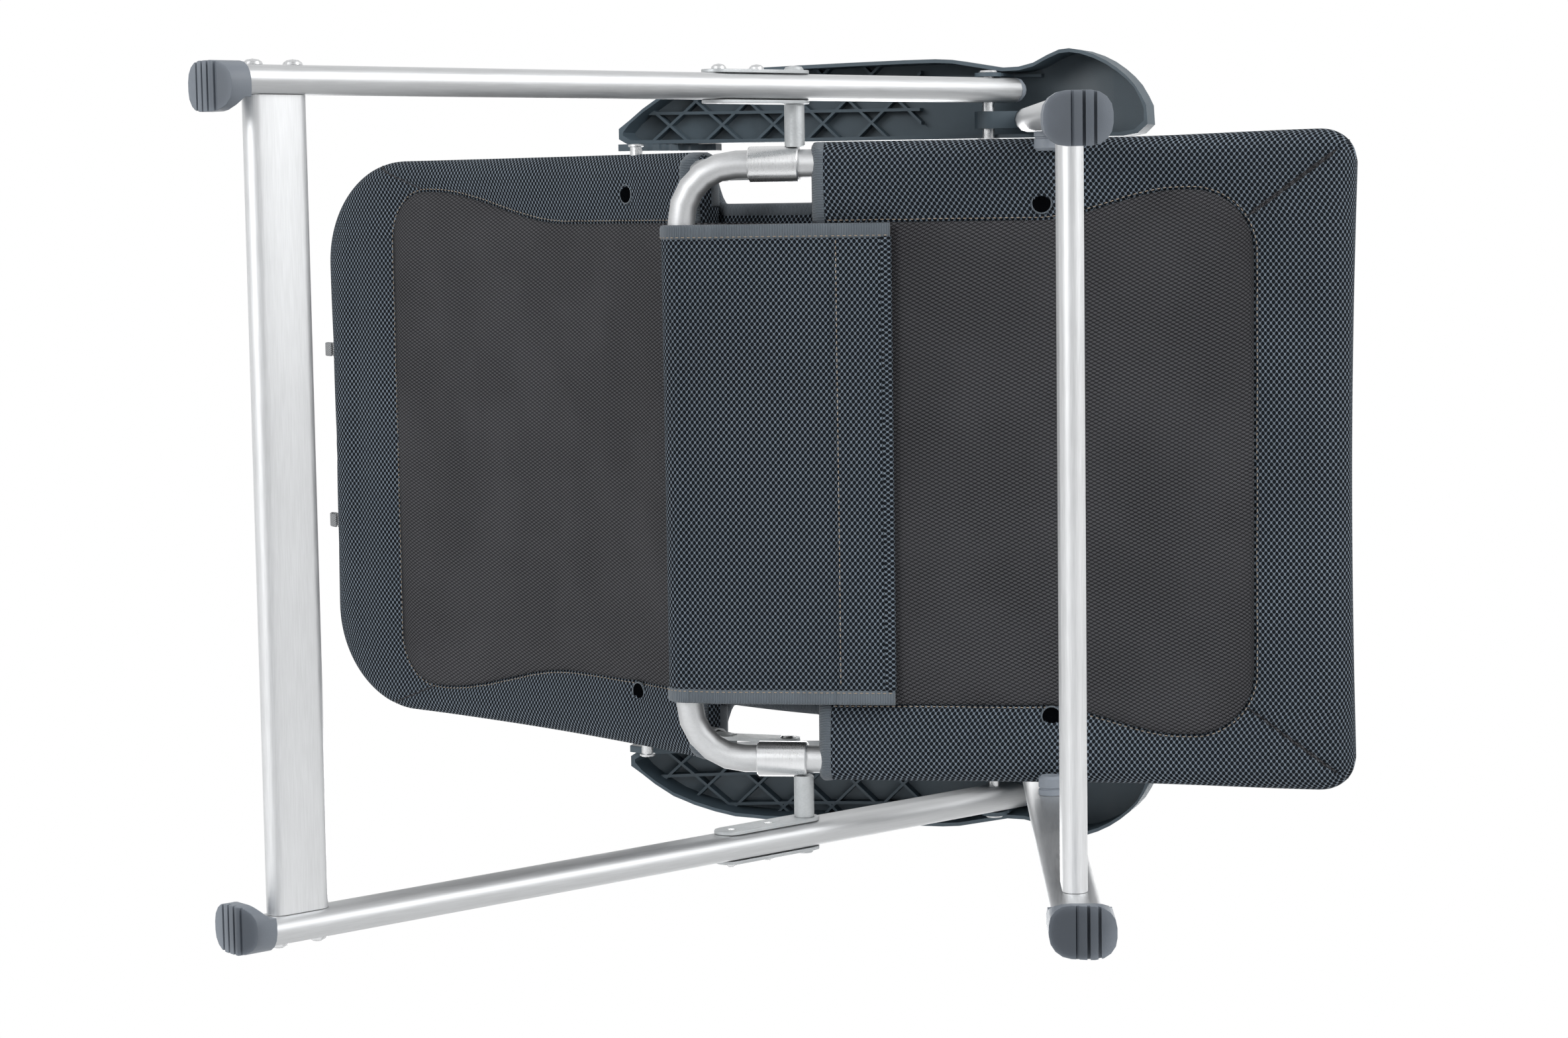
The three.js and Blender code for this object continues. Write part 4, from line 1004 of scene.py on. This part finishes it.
def end_binding(pad, surface, side, letter):
    """The tape that binds the open end of the border, from the panel round the tube to the top."""
    along = pad.start + np.linspace(1 * MM, BINDING_WIDTH, 7)[None, :]
    bottom = np.linspace(pad.seam, pad.half - 1 * MM, 26)[:, None]
    top = np.linspace(pad.half - 1 * MM, pad.half - BORDER_WIDTH, 18)[:, None]
    faces = [(bottom, pad.under), (top, pad.top)]
    grids = []
    for x, face in faces:
        x, run = np.broadcast_arrays(x, along)
        grids.append(pad.space(side * x, run, face(x, run)))
    name = f"{pad.name}_end_binding_{letter}"
    return tape_on(name, surface, np.concatenate(grids), 0.9 * MM, webbing)


def build_pad(pad, *replaced):
    body_object = pad_object(pad)
    swell(body_object, pad)
    finer(body_object)
    carve_seams(body_object, pad)
    fittings = pad_fittings(pad, body_object)
    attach(body_object, pad.body)
    for piece in fittings:
        piece.parent = body_object
    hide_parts(*replaced)
    return body_object


# ---- cloth between the seat and the back ----

PANEL_LIFT = 1.6 * MM
PANEL_THICK = 1.2 * MM
PANEL_COLUMNS = 60


def curve_between(first, first_way, last, last_way, steps):
    """A smooth curve from one point to another that leaves and arrives in given directions."""
    t = np.linspace(0, 1, steps)[:, None]
    points = [first, first + first_way, last - last_way, last]
    weights = [(1 - t) ** 3, 3 * t * (1 - t) ** 2, 3 * t**2 * (1 - t), t**3]
    return sum(w * p for w, p in zip(weights, points))


def panel_part(pad, rows):
    """One pad's share of the plain panel: a grid that follows its underside inside the seam."""
    along = (pad.start + 2 * MM + (pad.seam_end - pad.start - 2 * MM) * eased(rows, 0.5))[:, None]
    half = pad.seam_half(pad.seam_end)
    short = np.clip(pad.seam_corner - (pad.seam_end - along), 0, pad.seam_corner)
    rounded = half - pad.seam_corner + np.sqrt(pad.seam_corner**2 - short**2)
    x = np.minimum(pad.seam_half(along), rounded) * (2 * eased(PANEL_COLUMNS, 0.5) - 1)[None, :]
    along = np.broadcast_to(along, x.shape)
    seam = np.maximum(pad.seam_inside(x, along), 0)
    flat = np.stack([x, along, 0 * x], axis=-1)
    slack = smoothstep(0, 60 * MM, seam)
    folds = ripple(flat, (2.2, 19, 1), 5.3) * 4.2 * MM * slack
    gathers = ripple(flat, (70, 70, 1), 2.2) * 0.5 * MM * np.exp(-seam / (14 * MM))
    height = pad.under(x, along) - PANEL_LIFT + np.minimum(folds, 1.0 * MM) + gathers
    return pad.space(x, along, height)


def build_panel():
    """The plain cloth under the seat and behind the back, in one piece across the hinge."""
    seat_part = panel_part(seat_pad, 70)[::-1]
    back_part = panel_part(back_pad, 84)
    first, last = seat_part[-1], back_part[0]
    reach = 0.45 * np.linalg.norm(last - first, axis=-1).mean()
    leave = (first - seat_part[-4]).mean(axis=0)
    arrive = (back_part[3] - last).mean(axis=0)
    leave *= reach / np.linalg.norm(leave)
    arrive *= reach / np.linalg.norm(arrive)
    bridge = [curve_between(a, leave, b, arrive, 26)[1:-1] for a, b in zip(first, last)]
    outer = np.concatenate([seat_part, np.stack(bridge, axis=1), back_part])
    normals = facing_normals(outer, len(seat_part) // 2, PANEL_COLUMNS // 2, up=False)
    panel = shell_object("plain_panel", outer, outer - normals * PANEL_THICK, charcoal)
    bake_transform(panel)
    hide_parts("seat_rear_panel", "back_lower_panel")
    return panel


BRIDGE_THICK = 7 * MM
BRIDGE_HALF = 243 * MM
BRIDGE_LAP = 38 * MM
BRIDGE_STEPS = 40
BRIDGE_COLUMNS = 64
BRIDGE_WAIST = 40 * MM


def build_bridge():
    """The padded mesh that carries the sitter's side of the seat on to the back, over the hinge."""
    start, finish = seat_pad.start + BRIDGE_LAP, back_pad.start + BRIDGE_LAP
    seat_height, back_height = seat_pad.above - 3 * MM, back_pad.above - 3 * MM
    first = seat_space(0.0, start, seat_height)
    last = back_space(0.0, finish, back_height)
    reach = 0.22 * np.linalg.norm(last - first)
    leave = seat_space(0.0, start - reach, seat_height) - first
    arrive = back_space(0.0, finish + reach, back_height) - last
    middle = curve_between(first, leave, last, arrive, BRIDGE_STEPS)
    share = np.linspace(0, 1, BRIDGE_STEPS)
    half = BRIDGE_HALF - BRIDGE_WAIST * smoothstep(0.12, 0.30, share) * smoothstep(0.94, 0.78, share)
    x = half[:, None] * (2 * eased(BRIDGE_COLUMNS, 0.4) - 1)
    outer = np.repeat(middle[:, None], BRIDGE_COLUMNS, axis=1)
    outer[..., 0] = x
    edge = half[:, None] - np.abs(x)
    full = np.sqrt(1 - (1 - np.clip(edge / (10 * MM), 0, 1)) ** 2)[..., None]
    normals = facing_normals(outer, 0, 0, up=True)
    swelling = normals * (0.4 + 0.6 * full) * BRIDGE_THICK / 2
    bridge = shell_object("hinge_bridge", outer + swelling, outer - swelling, spacer_mesh)
    pieces = [bridge]
    for side, letter in [(1, "L"), (-1, "R")]:
        line = middle.copy()
        line[:, 0] = side * (half - 4 * MM)
        section = np.array(tape_section(BINDING_WIDTH / MM, BRIDGE_THICK / MM + 1.4)) * MM
        name = f"hinge_bridge_binding_{letter}"
        sides = sideways(BRIDGE_STEPS)
        pieces.append(lofted_object(name, line, sides, normals[:, 0], section, webbing))
    for piece in pieces:
        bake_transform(piece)
    return bridge


# ---- cover round the seat's rear tube ----

COVER_HALF = 188 * MM
COVER_THICK = 3 * MM
COVER_TUBE = -91 * MM
COVER_WRAP = 14.6 * MM
COVER_FRONT = 76 * MM
COVER_LOW = -18.4 * MM
COVER_COLUMNS = 90
COVER_CHANNEL = 30 * MM


def cover_profile():
    """The cover's side view as (forward, height): the flap, then round the tube and forward again."""
    flap = [(f, COVER_LOW) for f in np.linspace(COVER_FRONT, COVER_TUBE + 24 * MM, 80)]
    turn = np.linspace(-0.42 * math.pi, -1.5 * math.pi, 26)
    wrap = [(COVER_TUBE + COVER_WRAP * math.cos(a), COVER_WRAP * math.sin(a)) for a in turn]
    tuck = [(f, 14.6 * MM - 0.25 * (f - COVER_TUBE)) for f in np.linspace(COVER_TUBE + 6 * MM, -56 * MM, 8)]
    return np.array(flap + wrap + tuck)


def build_cover():
    profile = cover_profile()
    rows = len(profile)
    x = COVER_HALF * (2 * eased(COVER_COLUMNS, 0.5) - 1)
    grid = seat_space(x[None, :], profile[:, :1], profile[:, 1:])
    normals = facing_normals(grid, 0, 0, up=False)
    flat = flat_places(grid)
    flat = np.concatenate([flat, 0 * flat[..., :1]], axis=-1)
    forward = profile[:, :1]
    slack = smoothstep(COVER_FRONT, COVER_FRONT - 12 * MM, forward) * (profile[:, 1:] < -10 * MM)
    wave = np.clip(ripple(flat, (5, 12, 1), 9.4) * 1.8 * MM, -0.6 * MM, 1.0 * MM) * slack
    crease = 1.6 * MM * np.exp(-(((forward - COVER_CHANNEL) / (2.2 * MM)) ** 2)) * slack
    grid = grid + normals * (wave - crease)[..., None]
    outer = grid + normals * COVER_THICK / 2
    cover = shell_object("rear_tube_cover", outer, grid - normals * COVER_THICK / 2, spacer_mesh)
    surface = Surface(cover)
    pieces = []
    section = np.array(tape_section(12, COVER_THICK / MM + 2.2)) * MM
    for side, column, letter in [(1, -1, "L"), (-1, 0, "R")]:
        line = grid[:, column] - np.array([side * 5 * MM, 0, 0])
        name = f"cover_binding_{letter}"
        lifts = normals[:, column]
        pieces.append(lofted_object(name, line, sideways(rows), lifts, section, webbing))
        stitch = line[1:] - np.array([side * 4.4 * MM, 0, 0]) + 4 * MM * lifts[1:]
        pieces.append(stitches_on(f"cover_binding_stitches_{letter}", Surface(pieces[-1]), stitch))
    for name, forward in [("hem", 70 * MM), ("channel", COVER_CHANNEL + 2.5 * MM)]:
        across = np.linspace(-COVER_HALF + 12 * MM, COVER_HALF - 12 * MM, 60)
        line = seat_space(across, forward, COVER_LOW - 5 * MM)
        pieces.append(stitches_on(f"cover_{name}_stitches", surface, line))
    hem = np.array(tape_section(9, COVER_THICK / MM + 1.2)) * MM
    across = np.linspace(-COVER_HALF + 9 * MM, COVER_HALF - 9 * MM, 60)
    middle = seat_space(across, COVER_FRONT - 3.5 * MM, COVER_LOW)
    origin = seat_space(0.0, 0.0, 0.0)
    forward = np.tile(seat_space(0.0, 1.0, 0.0) - origin, (len(across), 1))
    upward = np.tile(seat_space(0.0, 0.0, 1.0) - origin, (len(across), 1))
    pieces.append(lofted_object("cover_hem", middle, forward, upward, hem, spacer_mesh))
    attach(cover, "seat")
    for piece in pieces:
        piece.parent = cover
    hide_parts("rear_bar_cover")
    return cover


# ---- head cushion loops ----

LOOP_WIDTH = 12
LOOP_THICK = 1.6
LOOP_SINK = 16 * MM


def loop_way():
    """The direction in which the back's top edge points."""
    lean = BACK_ELEVATION + (back_pad.end - BACK_STRAIGHT) / BACK_RADIUS
    return np.array([0.0, math.cos(lean), math.sin(lean)])


def build_loop(letter):
    """A loop of tape on the back's top edge, in the place of its plate."""
    node = f"head_cushion_tab_{letter}"
    low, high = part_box(node)
    middle = np.array((low + high) / 2) - LOOP_SINK * loop_way()
    way = loop_way()
    lift = np.array([0.0, -way[2], way[1]])
    turn = np.linspace(-0.92 * math.pi, 0.92 * math.pi, 34)
    line = middle + np.outer(np.cos(turn), way) * 10 * MM + np.outer(np.sin(turn), lift) * 3.2 * MM
    outward = np.outer(np.cos(turn) / 10, way) + np.outer(np.sin(turn) / 3.2, lift)
    outward /= np.linalg.norm(outward, axis=1, keepdims=True)
    section = np.array(tape_section(LOOP_WIDTH, LOOP_THICK)) * MM
    name = f"head_cushion_loop_{letter}"
    loop = lofted_object(name, line, sideways(len(turn)), outward, section, pale_tape)
    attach(loop, "back")
    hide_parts(node)


# ---- CAD pieces ----

SMOOTH_ANGLE = math.radians(33)


def smoothing_tree():
    """A modifier that joins split vertices and shades round faces smooth, with sharp edges kept."""
    tree = bpy.data.node_groups.new("smooth_by_angle", "GeometryNodeTree")
    tree.interface.new_socket("Geometry", in_out="INPUT", socket_type="NodeSocketGeometry")
    tree.interface.new_socket("Geometry", in_out="OUTPUT", socket_type="NodeSocketGeometry")
    start = tree.nodes.new("NodeGroupInput")
    merge = tree.nodes.new("GeometryNodeMergeByDistance")
    merge.inputs["Distance"].default_value = WELD_DISTANCE
    sharp = tree.nodes.new("GeometryNodeSetMeshNormal")
    angle = tree.nodes.new("GeometryNodeInputMeshEdgeAngle")
    compare = tree.nodes.new("FunctionNodeCompare")
    compare.operation = "GREATER_THAN"
    compare.inputs["B"].default_value = SMOOTH_ANGLE
    end = tree.nodes.new("NodeGroupOutput")
    tree.links.new(start.outputs[0], merge.inputs["Geometry"])
    tree.links.new(merge.outputs["Geometry"], sharp.inputs["Mesh"])
    tree.links.new(angle.outputs["Unsigned Angle"], compare.inputs["A"])
    tree.links.new(compare.outputs["Result"], sharp.inputs["Edge Sharpness"])
    tree.links.new(sharp.outputs["Mesh"], end.inputs[0])
    return tree


KINDS_BY_MATERIAL = [
    (along_z, ["rear_leg_tube"]),
    (along_front_leg, ["front_leg_tube"]),
    (along_x, ["rear_crossbar", "front_crossbar"]),
    (along_seat, ["seat_front_tube", "seat_rear_tube"]),
    (along_back, ["back_tube"]),
    (bright_sleeve, ["hinge_sleeve"]),
    (cast_aluminium, ["hinge_lug", "seat_pivot_strut", "back_hinge_fork", "seat_bracket"]),
    (plated_steel, ["back_pivot_rivet", "armrest_rest_pin", "crossbar_bolt",
                    "bracket_rivet", "armrest_axle"]),
    (slate_plastic, ["armrest_shell", "recline_catch", "front_leg_hinge"]),
    (grey_plastic, ["rear_leg_cap", "rear_foot", "front_foot", "seat_rest_knob"]),
]
NODE_MATERIALS = {kind: material for material, kinds in KINDS_BY_MATERIAL for kind in kinds}
BEVELLED = ("armrest_shell", "recline_catch", "rear_leg_cap", "rear_foot", "front_foot", "seat_bracket")


def finish_nodes():
    tree = smoothing_tree()
    for name, obj in frame["nodes"].items():
        kind = next((k for k in NODE_MATERIALS if name.startswith(k)), None)
        if kind is None:
            continue
        for slot in obj.material_slots:
            slot.material = NODE_MATERIALS[kind]
        obj.modifiers.new("smooth", "NODES").node_group = tree
        if kind in BEVELLED:
            bevel = obj.modifiers.new("edge", "BEVEL")
            bevel.width = 0.5 * MM
            bevel.segments = 2
            bevel.limit_method = "ANGLE"
            bevel.angle_limit = math.radians(50)
            bevel.harden_normals = True


# ---- scene ----

build_camera()
build_studio()
build_floor()
finish_nodes()
seat_object = build_pad(seat_pad, "seat_cushion")
back_object = build_pad(back_pad, "back_cushion")
build_panel()
build_bridge()
build_cover()
for letter in "LR":
    build_loop(letter)
